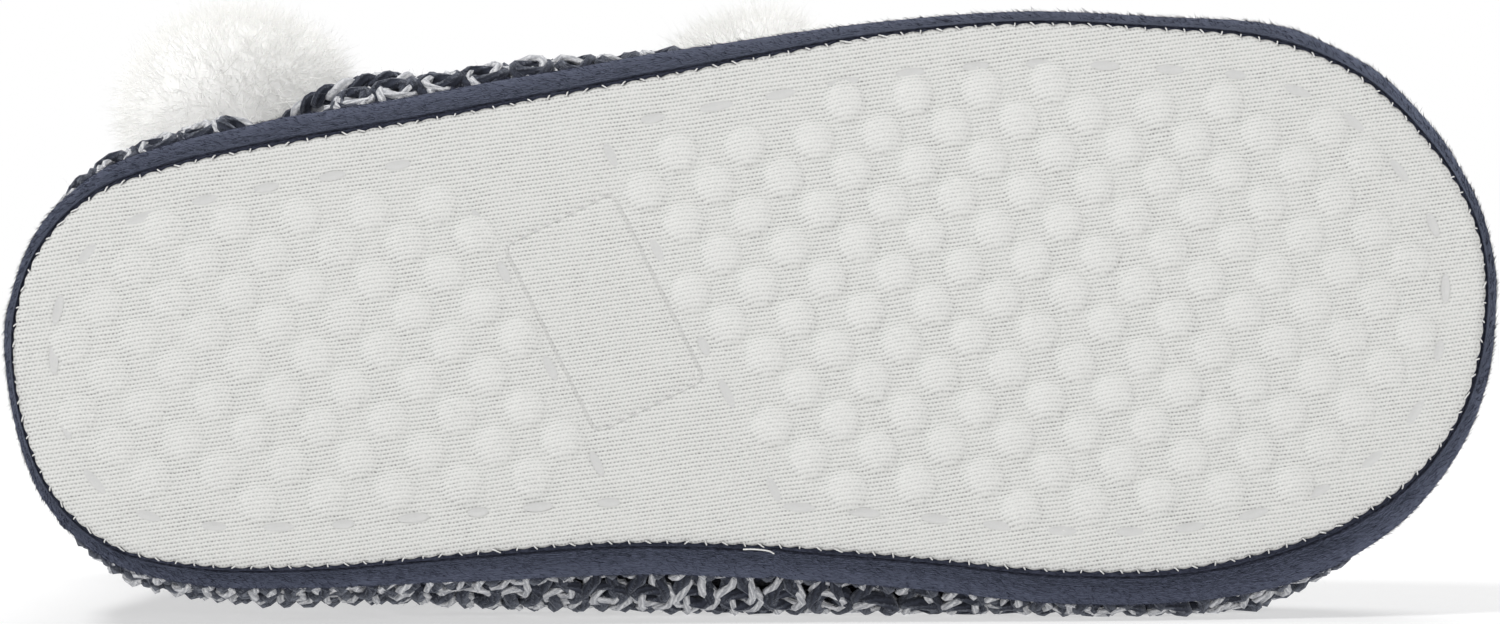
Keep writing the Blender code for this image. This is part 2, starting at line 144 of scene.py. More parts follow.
# Low domes of the sole, their height along the boot, and the slanted waist between the two fields; a field's
# row is the place of one dome and whether the field is ahead of the waist
DOME_PITCH, DOME_ROW, DOME_TURN_DEG, DOME_REACH = 12.0, 6.15, -1.8, 16
DOME_RADIUS, DOME_ROUNDNESS, DOME_MARGIN = 3.6, 0.62, 9.5
DOME_HEIGHTS = table(
    "x height",
    (-131.0, 0.52), (-85.0, 0.70), (-35.0, 0.88), (0.0, 1.00), (62.0, 0.95), (95.0, 0.78), (131.0, 0.52),
)
WAIST_SLANT_DEG = 22.5
WAIST_BACK, WAIST_FRONT, WAIST_CLEAR = -38.2, -10.3, 1.7
DOME_FIELDS = ((-34.1, 19.4, False), (-16.8, -23.2, True))

# Pressed frame in the waist
FRAME_X, FRAME_Y, FRAME_TURN_DEG = -25.4, -2.25, 22.8
FRAME_LENGTH, FRAME_WIDTH, FRAME_CORNER = 36.4, 21.2, 1.8
FRAME_GROOVE, FRAME_DEPTH, FRAME_LINE_WIDTH = 1.0, 0.26, 0.34

# Pressed tacks round each field; a row of the waist's is where its line crosses the middle, where along y it
# starts, and which of its places are taken
TACK_LENGTH, TACK_WIDTH, TACK_PROUD, TACK_SUNK = 5.0, 1.6, 0.04, 0.08
DIMPLE_DEPTH, DIMPLE_REACH = 0.35, 0.55
TACK_INSET, TACK_SPACING, WAIST_TACK_SPACING = 7.0, 11.4, 9.3
WAIST_TACKS = ((WAIST_BACK, -19.0, (0, 1, 3, 5)), (WAIST_FRONT, -29.8, (0, 2, 4, 5, 7)))

# Seam between fabric and band
SCALLOP_SPACING, SCALLOP_DEPTH, SCALLOP_MIDDLE = 3.3, 0.38, 0.6

# Pompoms (x, y, z and radius) and cords, as in the part's source
POMPOMS = {"rear": (-97.0, -47.8, 120.0, 21.5), "front": (-0.5, -42.3, 102.5, 19.0)}
POMPOM_FLATTEN = 0.94
CORD_RADIUS, CORD_INTO_POMPOM = 2.6, 6.0
CORD_ROUTES = {
    "rear": ((-40.0, -36.5, 86.0), (-44.5, -39.8, 77.0), (-49.0, -43.3, 67.0), (-55.0, -46.4, 55.5),
             (-63.5, -48.0, 47.0), (-72.5, -46.6, 48.0), (-80.0, -43.0, 56.0), (-85.5, -38.8, 66.5),
             (-89.5, -35.2, 78.0), (-92.3, -34.0, 89.0), (-94.4, -36.6, 100.4)),
    "front": ((-46.0, -34.3, 95.5), (-39.0, -33.7, 96.3), (-32.0, -32.6, 97.3), (-25.5, -32.0, 98.6),
              (-18.0, -33.6, 100.4)),
}
# How far a pompom's pile lies beside its solid, to be where the photo has it
PILE_SHIFT = {"rear": (2.0, -0.3, 0.0), "front": (3.0, 0.6, 0.0)}


# Curves; some of these take numbers, arrays and a material's values alike

def smooth(keys, values, at):
    """A smooth curve through table rows: cubic pieces whose slopes come from the neighbouring rows."""
    keys = np.asarray(keys, dtype=float)
    values = np.asarray(values, dtype=float)
    slopes = np.gradient(values, keys)
    at = np.clip(np.asarray(at, dtype=float), keys[0], keys[-1])
    row = np.clip(np.searchsorted(keys, at, side="right") - 1, 0, len(keys) - 2)
    span = keys[row + 1] - keys[row]
    u = (at - keys[row]) / span
    rise = 3 * u ** 2 - 2 * u ** 3
    start = (u ** 3 - 2 * u ** 2 + u) * span
    end = (u ** 3 - u ** 2) * span
    return values[row] * (1 - rise) + values[row + 1] * rise + slopes[row] * start + slopes[row + 1] * end


def step_up(at, low, high):
    """0 below low, 1 above high, an even rise between."""
    share = np.clip((np.asarray(at, dtype=float) - low) / (high - low), 0, 1)
    return share * share * (3 - 2 * share)


def lifted(share, least):
    """A share from 0 to 1 moved to run from a least value to 1."""
    return share * (1 - least) + least


def larger(first, second):
    """The larger of two values."""
    return (first + second + abs(first - second)) / 2


def turned(x, y, degrees):
    """Plan coordinates turned about the origin."""
    cosine = math.cos(math.radians(degrees))
    sine = math.sin(math.radians(degrees))
    return x * cosine - y * sine, x * sine + y * cosine


def unit(vectors):
    """Vectors scaled to length one."""
    return vectors / np.maximum(np.linalg.norm(vectors, axis=-1, keepdims=True), 1e-12)


def run_length(line):
    """Distance along a polyline at each of its points."""
    return np.concatenate(([0.0], np.cumsum(np.linalg.norm(np.diff(line, axis=0), axis=1))))


def looped(line):
    """A closed line with its first point added again at its end."""
    return np.vstack((line, line[:1]))


def tangents(line, closed=False):
    """Unit directions along a line."""
    if closed:
        return unit(np.roll(line, -1, axis=0) - np.roll(line, 1, axis=0))
    return unit(np.gradient(line, axis=0))


def across_line(line, reference, closed=False):
    """Two unit directions across a line: sideways, and up towards a reference direction."""
    tangent = tangents(line, closed)
    side = unit(np.cross(tangent, reference))
    return side, np.cross(side, tangent)


def smooth_points(keys, line, at):
    """Points of the smooth curve through a line's points."""
    return np.column_stack([smooth(keys, values, at) for values in line.T])


def straight_points(keys, line, at):
    """Points on a polyline."""
    return np.column_stack([np.interp(at, keys, values) for values in line.T])


def wandering(count, knots, scale):
    """A smooth random wander of the given spread, with a new value at each of so many knots."""
    values = RANDOM.normal(size=knots + 1) * scale
    values[-1] = values[0]
    return smooth(np.arange(knots + 1), values, np.linspace(0, knots, count))


# The boot's own form, at any number of stations round it

def side_angles(count):
    """Stations round the boot folded onto one side, 0 at the heel and pi at the toe, and which are medial."""
    turn = np.linspace(0.0, 2 * math.pi, count, endpoint=False)
    medial = turn <= math.pi + 1e-9
    return np.where(medial, turn, 2 * math.pi - turn), medial


def shares(count):
    """Share of the length from the heel at each station."""
    angle, _ = side_angles(count)
    return (1 - np.cos(angle)) / 2


def by_side(name, count):
    """The medial and the lateral column of one name in the flare table, read at every station."""
    _, medial = side_angles(count)
    inner = smooth(FLARE["share"], FLARE[f"{name}_medial"], shares(count))
    outer = smooth(FLARE["share"], FLARE[f"{name}_lateral"], shares(count))
    return np.where(medial, inner, outer)


def half_widths(angle):
    """The fabric's medial and lateral half widths at angles from 0 at the heel to pi at the toe."""
    row_angle = np.arccos(1 - 2 * SOLE["share"])
    return smooth(row_angle, SOLE["medial"], angle), smooth(row_angle, SOLE["lateral"], angle)


def fabric_outline(count):
    """The sole's fabric edge, round at heel and toe."""
    angle, medial = side_angles(count)
    inner, outer = half_widths(angle)
    return np.column_stack((FABRIC_LENGTH * (shares(count) - 0.5), np.where(medial, inner, -outer)))


def in_outline(x, y):
    """True where plan points lie inside the fabric's edge."""
    inner, outer = half_widths(np.arccos(1 - 2 * np.clip(x / FABRIC_LENGTH + 0.5, 0, 1)))
    return (y < inner) & (y > -outer) & (np.abs(x) < FABRIC_LENGTH / 2)


def outward(ring):
    """Unit normals of a closed plan outline, pointing out."""
    along = tangents(ring, True)
    return np.column_stack((-along[:, 1], along[:, 0]))


def offset_outline(amount, count):
    """The fabric outline moved out by an amount, one number or one for each station."""
    ring = fabric_outline(count)
    return ring + outward(ring) * np.broadcast_to(amount, (count,))[:, None]


def spring(x):
    """How far the sole curves up at the toe and, less, at the heel."""
    return np.mean([np.interp(x + shift, SPRING["x"], SPRING["rise"]) for shift in SPRING_BLUR], axis=0)


def floor_slopes():
    """The floor as a plane in the boot's own frame: how y changes along x and along z."""
    along_x = math.tan(math.radians(LIE_ROLL_DEG))
    along_z = -math.tan(math.radians(LIE_TILT_DEG)) * math.hypot(1.0, along_x)
    return along_x, along_z


def floor_side(x, z):
    """The medial reach of the floor that the boot lies on."""
    along_x, along_z = floor_slopes()
    return CONTACT_Y + along_x * (x - CONTACT_X) + along_z * (z - CONTACT_Z)


def above_floor(points, clear=0.0):
    """Points kept on the boot's side of the floor."""
    kept = points.copy()
    kept[..., 1] = np.minimum(points[..., 1], floor_side(points[..., 0], points[..., 2]) - clear)
    return kept


def lie_matrix():
    """From the boot's own frame, in metres, to the row frame."""
    along_x, along_z = floor_slopes()
    lift = floor_side(0.0, 0.0) / math.sqrt(1 + along_x ** 2 + along_z ** 2)
    tilt = Matrix.Rotation(-math.radians(90 + LIE_TILT_DEG), 4, "X")
    roll = Matrix.Rotation(-math.radians(LIE_ROLL_DEG), 4, "Z")
    return Matrix.Translation(Vector((-BOX_CENTRE[0], -BOX_CENTRE[1], lift)) * MM) @ tilt @ roll


def in_row_frame(points):
    """Points of the boot's own frame, in millimetres, as row-frame metres."""
    lie = np.array(lie_matrix())
    return (np.asarray(points) * MM) @ lie[:3, :3].T + lie[:3, 3]


def place(plan, height):
    """A ring of points: plan outline, height above the sole, toe spring, and the floor on the medial side."""
    x = plan[:, 0]
    return above_floor(np.column_stack((x, plan[:, 1], height + spring(x))))


def side_offset(height, count):
    """The side's outer face at a height: it leaves the seam steeply and rounds over to its top edge."""
    rise = np.clip(np.broadcast_to(height, (count,)) / BAND_HEIGHT, 0, 1)
    return BAND_FOOT + (by_side("band", count) - BAND_FOOT) * np.sin(rise * math.pi / 2) ** BAND_ROUNDNESS


def sole_side(height, count):
    """The outsole's side, just inside the band."""
    return side_offset(height, count) - BAND_THICKNESS - GAP


def upper_ring(position, count):
    """One ring of the upper at a position in table rows: the sole's outline low down, round higher up."""
    row = {name: float(smooth(np.arange(len(values)), values, position)) for name, values in UPPER.items()}
    angle, medial = side_angles(count)
    share = shares(count)
    low = offset_outline(by_side("band", count) + by_side("knit", count) * row["bulge"], count)
    low_share = (low[:, 0] - low[:, 0].min()) / np.ptp(low[:, 0])
    reach = np.abs(np.sin(angle)) ** (HEEL_FULLNESS + (FRONT_FULLNESS - HEEL_FULLNESS) * share)
    half = np.where(medial, row["medial"], -row["lateral"])
    like = row["sole_like"]
    x = row["back"] + (row["front"] - row["back"]) * (like * low_share + (1 - like) * share)
    plan = np.column_stack((x, like * low[:, 1] + (1 - like) * half * reach))
    plan += outward(plan) * HEM_PROUD * step_up(position, HEM_START, HEM_START + HEM_STEP)
    return place(plan, row["height_back"] + (row["height_front"] - row["height_back"]) * share)


# Meshes

MERGE_DISTANCE = 0.02


class Parts:
    """Points and faces gathered for one mesh, with a material number and texture places for each face."""

    def __init__(self):
        self.points = []
        self.faces = []
        self.places = []
        self.materials = []
        self.count = 0

    def add(self, points, faces, places=None, material=0):
        """Add points with one array of faces, all of one size; places holds a pair for each face corner."""
        faces = np.asarray(faces, dtype=np.int64)
        if places is None:
            places = np.zeros(faces.shape + (2,))
        self.points.append(np.asarray(points, dtype=float).reshape(-1, 3))
        self.faces.append(faces + self.count)
        self.places.append(np.asarray(places, dtype=float).reshape(-1, 2))
        self.materials.append(np.full(len(faces), material))
        self.count += len(self.points[-1])

    def add_grid(self, points, wrap_rows=False, wrap_columns=False, places=None, flip=False, material=0):
        """Add a grid of points as quads; places holds a pair for each grid point, and for the first row or
        column once more where the grid wraps."""
        rows, columns = points.shape[:2]
        row = np.arange(rows if wrap_rows else rows - 1)
        column = np.arange(columns if wrap_columns else columns - 1)
        low, left = np.meshgrid(row, column, indexing="ij")
        corner_rows = low.reshape(-1, 1) + np.array((0, 1, 1, 0))
        corner_columns = left.reshape(-1, 1) + np.array((0, 0, 1, 1))
        if flip:
            corner_rows = corner_rows[:, ::-1]
            corner_columns = corner_columns[:, ::-1]
        faces = corner_rows % rows * columns + corner_columns % columns
        if places is not None:
            places = places[corner_rows, corner_columns]
        self.add(points, faces, places, material)

    def mesh(self, name):
        """The gathered faces as one smooth mesh, laid on its side, in metres."""
        mesh = bpy.data.meshes.new(name)
        points = in_row_frame(np.vstack(self.points))
        corners = np.concatenate([group.ravel() for group in self.faces])
        sizes = np.concatenate([np.full(len(group), group.shape[1]) for group in self.faces])
        starts = np.concatenate(([0], np.cumsum(sizes)[:-1]))
        mesh.vertices.add(len(points))
        mesh.vertices.foreach_set("co", points.astype(np.float32).ravel())
        mesh.loops.add(len(corners))
        mesh.loops.foreach_set("vertex_index", corners.astype(np.int32))
        mesh.polygons.add(len(sizes))
        mesh.polygons.foreach_set("loop_start", starts.astype(np.int32))
        mesh.polygons.foreach_set("material_index", np.concatenate(self.materials).astype(np.int32))
        layer = mesh.uv_layers.new(name="UVMap")
        layer.data.foreach_set("uv", np.vstack(self.places).astype(np.float32).ravel())
        mesh.update(calc_edges=True)
        mesh.shade_smooth()
        return mesh


def new_piece(name, parts, materials, slot, *replaced):
    """A piece of the boot, riding on the one body, with its materials; slot is not used."""
    mesh = parts.mesh(name)
    for material in materials:
        mesh.materials.append(material)
    piece = bpy.data.objects.new(name, mesh)
    bpy.context.scene.collection.objects.link(piece)
    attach(piece, "root")
    if replaced:
        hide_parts(*replaced)
    return piece


def merge_points(piece):
    """Join points that lie on each other, so that a mesh closes at its ends and rims."""
    shape = bmesh.new()
    shape.from_mesh(piece.data)
    bmesh.ops.remove_doubles(shape, verts=shape.verts, dist=MERGE_DISTANCE * MM)
    bmesh.ops.recalc_face_normals(shape, faces=shape.faces)
    shape.to_mesh(piece.data)
    shape.free()


def across_ring(ring, steps):
    """A ring filled across, from its lateral to its medial side, as a grid of points."""
    half = len(ring) // 2
    medial = ring[:half + 1]
    lateral = np.vstack((ring[:1], ring[:half - 1:-1]))
    share = np.linspace(0, 1, steps + 1)[None, :, None]
    return lateral[:, None] * (1 - share) + medial[:, None] * share


def add_tube(parts, line, radius, sides, reference, closed=False, material=0):
    """A round strand along a line; texture places run along it in millimetres and once round it."""
    side, up = across_line(line, reference, closed)
    turn = 2 * math.pi * np.arange(sides) / sides
    spoke = np.cos(turn)[None, :, None] * up[:, None] + np.sin(turn)[None, :, None] * side[:, None]
    points = line[:, None] + np.broadcast_to(radius, (len(line),))[:, None, None] * spoke
    places = np.meshgrid(run_length(looped(line)), np.arange(sides + 1) / sides, indexing="ij")
    parts.add_grid(points, closed, True, np.stack(places, axis=-1), material=material)
    if not closed:
        ends = np.array([np.arange(sides)[::-1], np.arange(sides) + (len(line) - 1) * sides])
        parts.add(np.zeros((0, 3)), ends - len(line) * sides, None, material)


def add_blades(parts, roots, directions, bends, lengths, width, levels=2, material=0):
    """Fine fibres: tapered blades from roots along directions, bowed by bends, one point at each tip; texture
    places run from 0 at the root to 1 at the tip."""
    count = len(roots)
    directions = unit(directions)
    across = unit(np.cross(directions, unit(RANDOM.normal(size=(count, 3)))))
    share = np.arange(levels) / levels
    middle = (roots[:, None] + directions[:, None] * (lengths[:, None] * share)[..., None]
              + bends[:, None] * (share ** 2)[None, :, None])
    half = (width * (1 - share) / 2)[None, :, None] * across[:, None]
    tips = roots + directions * lengths[:, None] + bends
    points = np.concatenate((middle - half, middle + half, tips[:, None]), axis=1).reshape(-1, 3)
    size = 2 * levels + 1
    first = np.arange(count)[:, None] * size
    low = first + np.arange(levels - 1)[None]
    quads = np.stack((low, low + levels, low + levels + 1, low + 1), axis=-1)
    quad_shares = np.stack((share[:-1], share[:-1], share[1:], share[1:]), axis=-1)
    quad_places = np.stack((np.tile(quad_shares, (count, 1)), np.zeros((count * (levels - 1), 4))), axis=-1)
    parts.add(points, quads.reshape(-1, 4), quad_places, material)
    last = first + np.array((levels - 1, 2 * levels - 1, 2 * levels))
    last_places = np.tile(((share[-1], 0.0), (share[-1], 0.0), (1.0, 0.0)), (count, 1, 1))
    parts.add(np.zeros((0, 3)), last - count * size, last_places, material)


def floor_bends(roots, directions, lengths, bends):
    """The bends of fibres, changed where a tip would pass through the floor."""
    straight = unit(directions) * lengths[:, None]
    return above_floor(roots + straight + bends) - roots - straight


# Materials

SHEEN_ROUGHNESS = 0.45

# Noise patterns: scale to a unit of the coordinates, detail and roughness
NOISES = {
    "drift": (0.05, 2.0, 0.5),
    "shake": (1.3, 2.0, 0.7),
    "broken": (1.0, 2.0, 0.7),
    "patch": (0.16, 3.0, 0.6),
    "grain": (3.4, 2.0, 0.6),
    "cloud": (1.1, 3.0, 0.5),
    "pits": (3.0, 2.0, 0.5),
    "streak": (1.0, 3.0, 0.6),
    "fleck": (1.0, 3.0, 0.7),
    "pile": (3.2, 2.0, 0.7),
    "fluff": (1.7, 3.0, 0.65),
    "stray": (1.0, 2.0, 0.6),
    "curl": (0.9, 4.0, 0.65),
    "clump": (0.28, 2.0, 0.5),
    "tuft": (0.22, 3.0, 0.6),
}


class Value:
    """A number, vector or colour of a material's nodes; arithmetic with numbers makes nodes for it."""

    def __init__(self, paint, socket):
        self.paint = paint
        self.socket = socket

    def __add__(self, other):
        return self.paint.math("ADD", self, other)

    def __sub__(self, other):
        return self.paint.math("SUBTRACT", self, other)

    def __rsub__(self, other):
        return self.paint.math("SUBTRACT", other, self)

    def __mul__(self, other):
        return self.paint.math("MULTIPLY", self, other)

    def __truediv__(self, other):
        return self.paint.math("DIVIDE", self, other)

    def __mod__(self, other):
        return self.paint.math("MODULO", self, other)

    def __pow__(self, other):
        return self.paint.math("POWER", self, other)

    def __abs__(self):
        return self.paint.math("ABSOLUTE", self)


class Paint:
    """A material's node tree with short calls for the nodes used here."""

    def __init__(self, name, roughness, sheen=0.0, sheen_tint=(1.0, 1.0, 1.0), specular=0.2):
        self.material = bpy.data.materials.new(name)
        self.material.use_nodes = True
        self.tree = self.material.node_tree
        self.shader = self.tree.nodes["Principled BSDF"].inputs
        self.feed(self.shader["Roughness"], roughness)
        self.feed(self.shader["Specular IOR Level"], specular)
        self.feed(self.shader["Sheen Weight"], sheen)
        self.feed(self.shader["Sheen Roughness"], SHEEN_ROUGHNESS)
        self.feed(self.shader["Sheen Tint"], sheen_tint)

    def feed(self, socket, value):
        """Link a socket to a value of the nodes, or set it to a number, vector or colour."""
        if isinstance(value, Value):
            self.tree.links.new(value.socket, socket)
        elif socket.type == "RGBA":
            socket.default_value = (*value, 1.0)
        else:
            socket.default_value = value

    def node(self, kind, output, inputs, **settings):
        """The output of a new node with the given inputs and settings."""
        node = self.tree.nodes.new(f"ShaderNode{kind}")
        for name, setting in settings.items():
            setattr(node, name, setting)
        for key, value in inputs.items():
            self.feed(node.inputs[key], value)
        return Value(self, node.outputs[output])

    def coordinates(self, kind):
        """Texture coordinates: UV for a piece's own texture places, Object for the row frame in metres."""
        return self.node("TexCoord", kind, {})

    def boot(self):
        """Coordinates in the boot's own frame, in millimetres."""
        back = lie_matrix().inverted()
        return self.node("Mapping", "Vector", {
            "Vector": self.coordinates("Object"), "Location": back.translation / MM,
            "Rotation": back.to_euler("XYZ"), "Scale": (1 / MM, 1 / MM, 1 / MM)})

    def stretched(self, vector, scales):
        """A vector with its axes scaled each by itself."""
        return self.node("VectorMath", "Vector", {0: vector, 1: scales}, operation="MULTIPLY")

    def split(self, vector):
        """A vector's three numbers."""
        return [self.node("SeparateXYZ", axis, {"Vector": vector}) for axis in "XYZ"]

    def math(self, operation, *values):
        """A number worked out from others."""
        return self.node("Math", "Value", dict(enumerate(values)), operation=operation)

    def wave(self, phase):
        """A wave between 0 and 1, with 1 at whole phases."""
        return self.math("COSINE", phase * (2 * math.pi)) * 0.5 + 0.5

    def noise(self, name, vector):
        """One of the noise patterns, between 0 and 1."""
        scale, detail, roughness = NOISES[name]
        return self.node("TexNoise", "Fac", {
            "Vector": vector, "Scale": scale, "Detail": detail, "Roughness": roughness})

    def ramp(self, value, low, high):
        """A value stretched so that low becomes 0 and high becomes 1, and held there."""
        return self.node("MapRange", "Result", {"Value": value, "From Min": low, "From Max": high})

    def mix(self, share, first, second):
        """A colour between two."""
        return self.node("Mix", 2, {0: share, 6: first, 7: second}, data_type="RGBA")

    def bump(self, height, distance, strength=1.0, below=None):
        """A normal bent by a height of so many millimetres, on top of another one where that is given."""
        inputs = {"Height": height, "Distance": distance * MM, "Strength": strength}
        if below is not None:
            inputs["Normal"] = below
        return self.node("Bump", "Normal", inputs)

    def glow(self, colour, strength):
        """Light given off by the surface."""
        self.feed(self.shader["Emission Color"], colour)
        self.feed(self.shader["Emission Strength"], strength)

    def finish(self, colour, normal=None):
        """The material with its colour and its normal."""
        self.feed(self.shader["Base Color"], colour)
        if normal is not None:
            self.feed(self.shader["Normal"], normal)
        return self.material


def frame_distance(x, y):
    """Distance to the rounded frame pressed into the waist, for arrays and a material's values alike."""
    along, across = turned(x - FRAME_X, y - FRAME_Y, FRAME_TURN_DEG - 90)
    past_end = abs(along) - (FRAME_LENGTH / 2 - FRAME_CORNER)
    past_side = abs(across) - (FRAME_WIDTH / 2 - FRAME_CORNER)
    outside = (larger(past_end, 0.0) ** 2 + larger(past_side, 0.0) ** 2) ** 0.5
    nearer = larger(past_end, past_side)
    inside = nearer - larger(nearer, 0.0)
    return abs(outside + inside - FRAME_CORNER)


FABRIC_ROW, FABRIC_STITCH, FABRIC_TURN_DEG = 0.716, 0.66, 4.9
# The dark colour is painted shade in the gaps between stitches; the dome colour is a painted highlight on the
# domes
FABRIC_LIGHT, FABRIC_GAP_SHADE, FABRIC_DOME_HIGHLIGHT = (0.755, 0.755, 0.735), (0.11, 0.11, 0.11), (0.90, 0.90, 0.885)
ROW_DRIFT, ROW_SHAKE, STITCH_SLIDE, DOME_ROW_LIFT = 1.3, 0.28, 1.2, 0.8
# Added to a row's number before its parity is taken, so that none is negative
ROW_NUMBER_START = 600.5
BROKEN_STRETCH, BROKEN_RANGE, PATCH_RANGE = (0.75, 1.3, 1.0), (0.30, 0.62), (0.25, 0.75)
DOT_LEAST, PATCH_LEAST, STITCH_LEAST = 0.2, 0.45, 0.65
GRAIN_DARK, GRAIN_HEIGHT, FABRIC_RANGE = 0.34, 0.5, (-0.08, 0.95)
# Painted highlight on the domes: how much lighter they are, and how much the painted shade of the rows fades
# on them
DOME_PAINTED_HIGHLIGHT, DOME_HIGHLIGHT_ROWS_FADE = 0.20, 0.40
# Painted highlight along the pressed frame: its colour and how much of it is mixed in
FRAME_HIGHLIGHT_COLOUR, FRAME_HIGHLIGHT_SHARE = (0.86, 0.86, 0.84), 0.38


def fabric_material():
    """Fine off-white knit: rows of painted shade in the small gaps between light stitches, wavering a little,
    with painted highlights on the domes and along the pressed frame.
    """
    paint = Paint("sole_knit", roughness=0.92, sheen=0.15)
    boot = paint.boot()
    x, y, _ = paint.split(boot)
    # The first texture place marks where the domes get their painted highlight, the second their height
    dome, dome_height, _ = paint.split(paint.coordinates("UV"))
    drift, shake, grain = (paint.noise(name, boot) for name in ("drift", "shake", "grain"))
    along, row = turned(x, y, FABRIC_TURN_DEG)
    row = row / FABRIC_ROW + drift * ROW_DRIFT + dome_height * DOME_ROW_LIFT + shake * ROW_SHAKE
    odd = paint.math("FLOOR", row + ROW_NUMBER_START) % 2.0
    along = along / FABRIC_STITCH + odd * 0.5 + shake * STITCH_SLIDE
    broken = paint.noise("broken", paint.stretched(boot, BROKEN_STRETCH))
    patch = paint.ramp(paint.noise("patch", boot), *PATCH_RANGE) * paint.ramp(broken, *BROKEN_RANGE)
    # Painted shade in the gaps between stitches, broken in patches, fading on the domes, with random grain
    gap_shade = paint.wave(row) ** 2.0 * lifted(paint.wave(along), DOT_LEAST)
    dark = gap_shade * lifted(patch, PATCH_LEAST) * (1.0 - dome * DOME_HIGHLIGHT_ROWS_FADE) + (grain - 0.5) * GRAIN_DARK
    # Painted highlight on the domes
    light = paint.mix(dome * DOME_PAINTED_HIGHLIGHT, FABRIC_LIGHT, FABRIC_DOME_HIGHLIGHT)
    colour = paint.mix(paint.ramp(dark, *FABRIC_RANGE), light, FABRIC_GAP_SHADE)
    # Painted highlight along the pressed frame's line, which is also bumped
    line = paint.ramp(frame_distance(x, y), FRAME_LINE_WIDTH, 0.0)
    colour = paint.mix(line * FRAME_HIGHLIGHT_SHARE, colour, FRAME_HIGHLIGHT_COLOUR)
    height = paint.wave(row + 0.5) * lifted(paint.wave(along + 0.5), STITCH_LEAST) + grain * GRAIN_HEIGHT
    stitched = paint.bump(height, distance=0.11, strength=0.8)
    return paint.finish(colour, paint.bump(line, distance=0.25, below=stitched))


PRESSED_LIGHT, PRESSED_DARK = (0.61, 0.61, 0.60), (0.54, 0.54, 0.535)


def pressed_material():
    """Fabric melted smooth where it is pressed down."""
    paint = Paint("pressed_tack", roughness=0.55, specular=0.35)
    boot = paint.boot()
    colour = paint.mix(paint.noise("cloud", boot), PRESSED_LIGHT, PRESSED_DARK)
    return paint.finish(colour, paint.bump(paint.noise("pits", boot), distance=0.05, strength=0.5))


VELOUR_DARK, VELOUR_LIGHT, VELOUR_RANGE = (0.006, 0.007, 0.013), (0.088, 0.096, 0.144), (0.42, 1.14)
STREAK_STRETCH, FLECK_STRETCH, FLECK_RANGE = (0.16, 0.7, 1.0), (0.75, 2.2, 1.0), (0.34, 0.66)
FLECK_SHARE, PILE_SHARE, PILE_HEIGHT = 0.55, 0.4, 0.5
# Painted shade by the seam: where the band turns lighter, in millimetres from the seam, and by how much
VELOUR_SEAM_SHADE_REACH, VELOUR_SEAM_SHADE = (1.0, 9.0), 0.34


def velour_material():
    """Short navy nap brushed along the band: dark flecks between lighter pile, and painted shade towards the
    seam.
    """
    paint = Paint("navy_velour", roughness=0.9, sheen=0.3, sheen_tint=(0.55, 0.64, 0.90), specular=0.1)
    band = paint.coordinates("UV")
    _, from_seam, _ = paint.split(band)
    streak = paint.noise("streak", paint.stretched(band, STREAK_STRETCH))
    fleck = paint.noise("fleck", paint.stretched(band, FLECK_STRETCH))
    pile = paint.noise("pile", paint.boot())
    tone = paint.ramp(fleck, *FLECK_RANGE) * FLECK_SHARE + streak * (1 - FLECK_SHARE)
    # The band lightens away from the seam: painted shade by the seam
    tone = tone + (pile - 0.5) * PILE_SHARE + paint.ramp(from_seam, *VELOUR_SEAM_SHADE_REACH) * VELOUR_SEAM_SHADE
    colour = paint.mix(paint.ramp(tone, *VELOUR_RANGE), VELOUR_DARK, VELOUR_LIGHT)
    return paint.finish(colour, paint.bump(fleck + pile * PILE_HEIGHT, distance=0.45, strength=0.8))


# Fibres of a yarn: turns to a millimetre along it, how many lie side by side round it, and how they waver
FIBRE_WIND, FIBRES_ROUND, FIBRE_WAVER = 0.28, 5.0, 0.9
# The fibres' share of the tone is painted shade in the hollows between them
FIBRE_SHADE_SHARE, FLUFF_SHARE, YARN_RANGE = 0.45, 0.6, (0.15, 0.9)
STRAY_STRETCH, STRAY_RANGE, STRAY_SHARE = (0.45, 9.0, 1.0), (0.52, 0.72), 0.5
FIBRE_HEIGHT, FLUFF_HEIGHT = 0.6, 0.7


def yarn_material(name, light, dark, sheen):
    """Spun yarn: fine fibres wound round the strand, with painted shade in the hollows between them, uneven
    fluff and dark stray fibres.
    """
    paint = Paint(name, roughness=0.88, sheen=sheen, sheen_tint=(0.75, 0.80, 0.92), specular=0.15)
    strand = paint.coordinates("UV")
    along, around, _ = paint.split(strand)
    fluff = paint.noise("fluff", paint.boot())
    fibre = paint.wave(along * FIBRE_WIND + around * FIBRES_ROUND + fluff * FIBRE_WAVER)
    stray = paint.ramp(paint.noise("stray", paint.stretched(strand, STRAY_STRETCH)), *STRAY_RANGE)
    # Painted shade in the hollows between fibres, with uneven fluff and dark stray fibres
    tone = fibre * FIBRE_SHADE_SHARE + fluff * FLUFF_SHARE - stray * STRAY_SHARE
    height = fibre * FIBRE_HEIGHT + fluff * FLUFF_HEIGHT
    colour = paint.mix(paint.ramp(tone, *YARN_RANGE), dark, light)
    return paint.finish(colour, paint.bump(height, distance=0.28, strength=0.9))


CURL_SHARE, CLUMP_SHARE, FLEECE_RANGE = 0.7, 0.5, (0.35, 0.85)


def fleece_material(name, light, dark):
    """Brushed lining or footbed: soft curls with no direction."""
    paint = Paint(name, roughness=0.95, sheen=0.3, specular=0.1)
    boot = paint.boot()
    tone = paint.noise("curl", boot) * CURL_SHARE + paint.noise("clump", boot) * CLUMP_SHARE
    colour = paint.mix(paint.ramp(tone, *FLEECE_RANGE), dark, light)
    return paint.finish(colour, paint.bump(tone, distance=0.9, strength=0.7))


PILE_ROOT, PILE_TIPS = (0.98, 0.976, 0.962), ((0.955, 0.951, 0.938), (0.985, 0.982, 0.971))
PILE_RANGE = (0.35, 0.9)
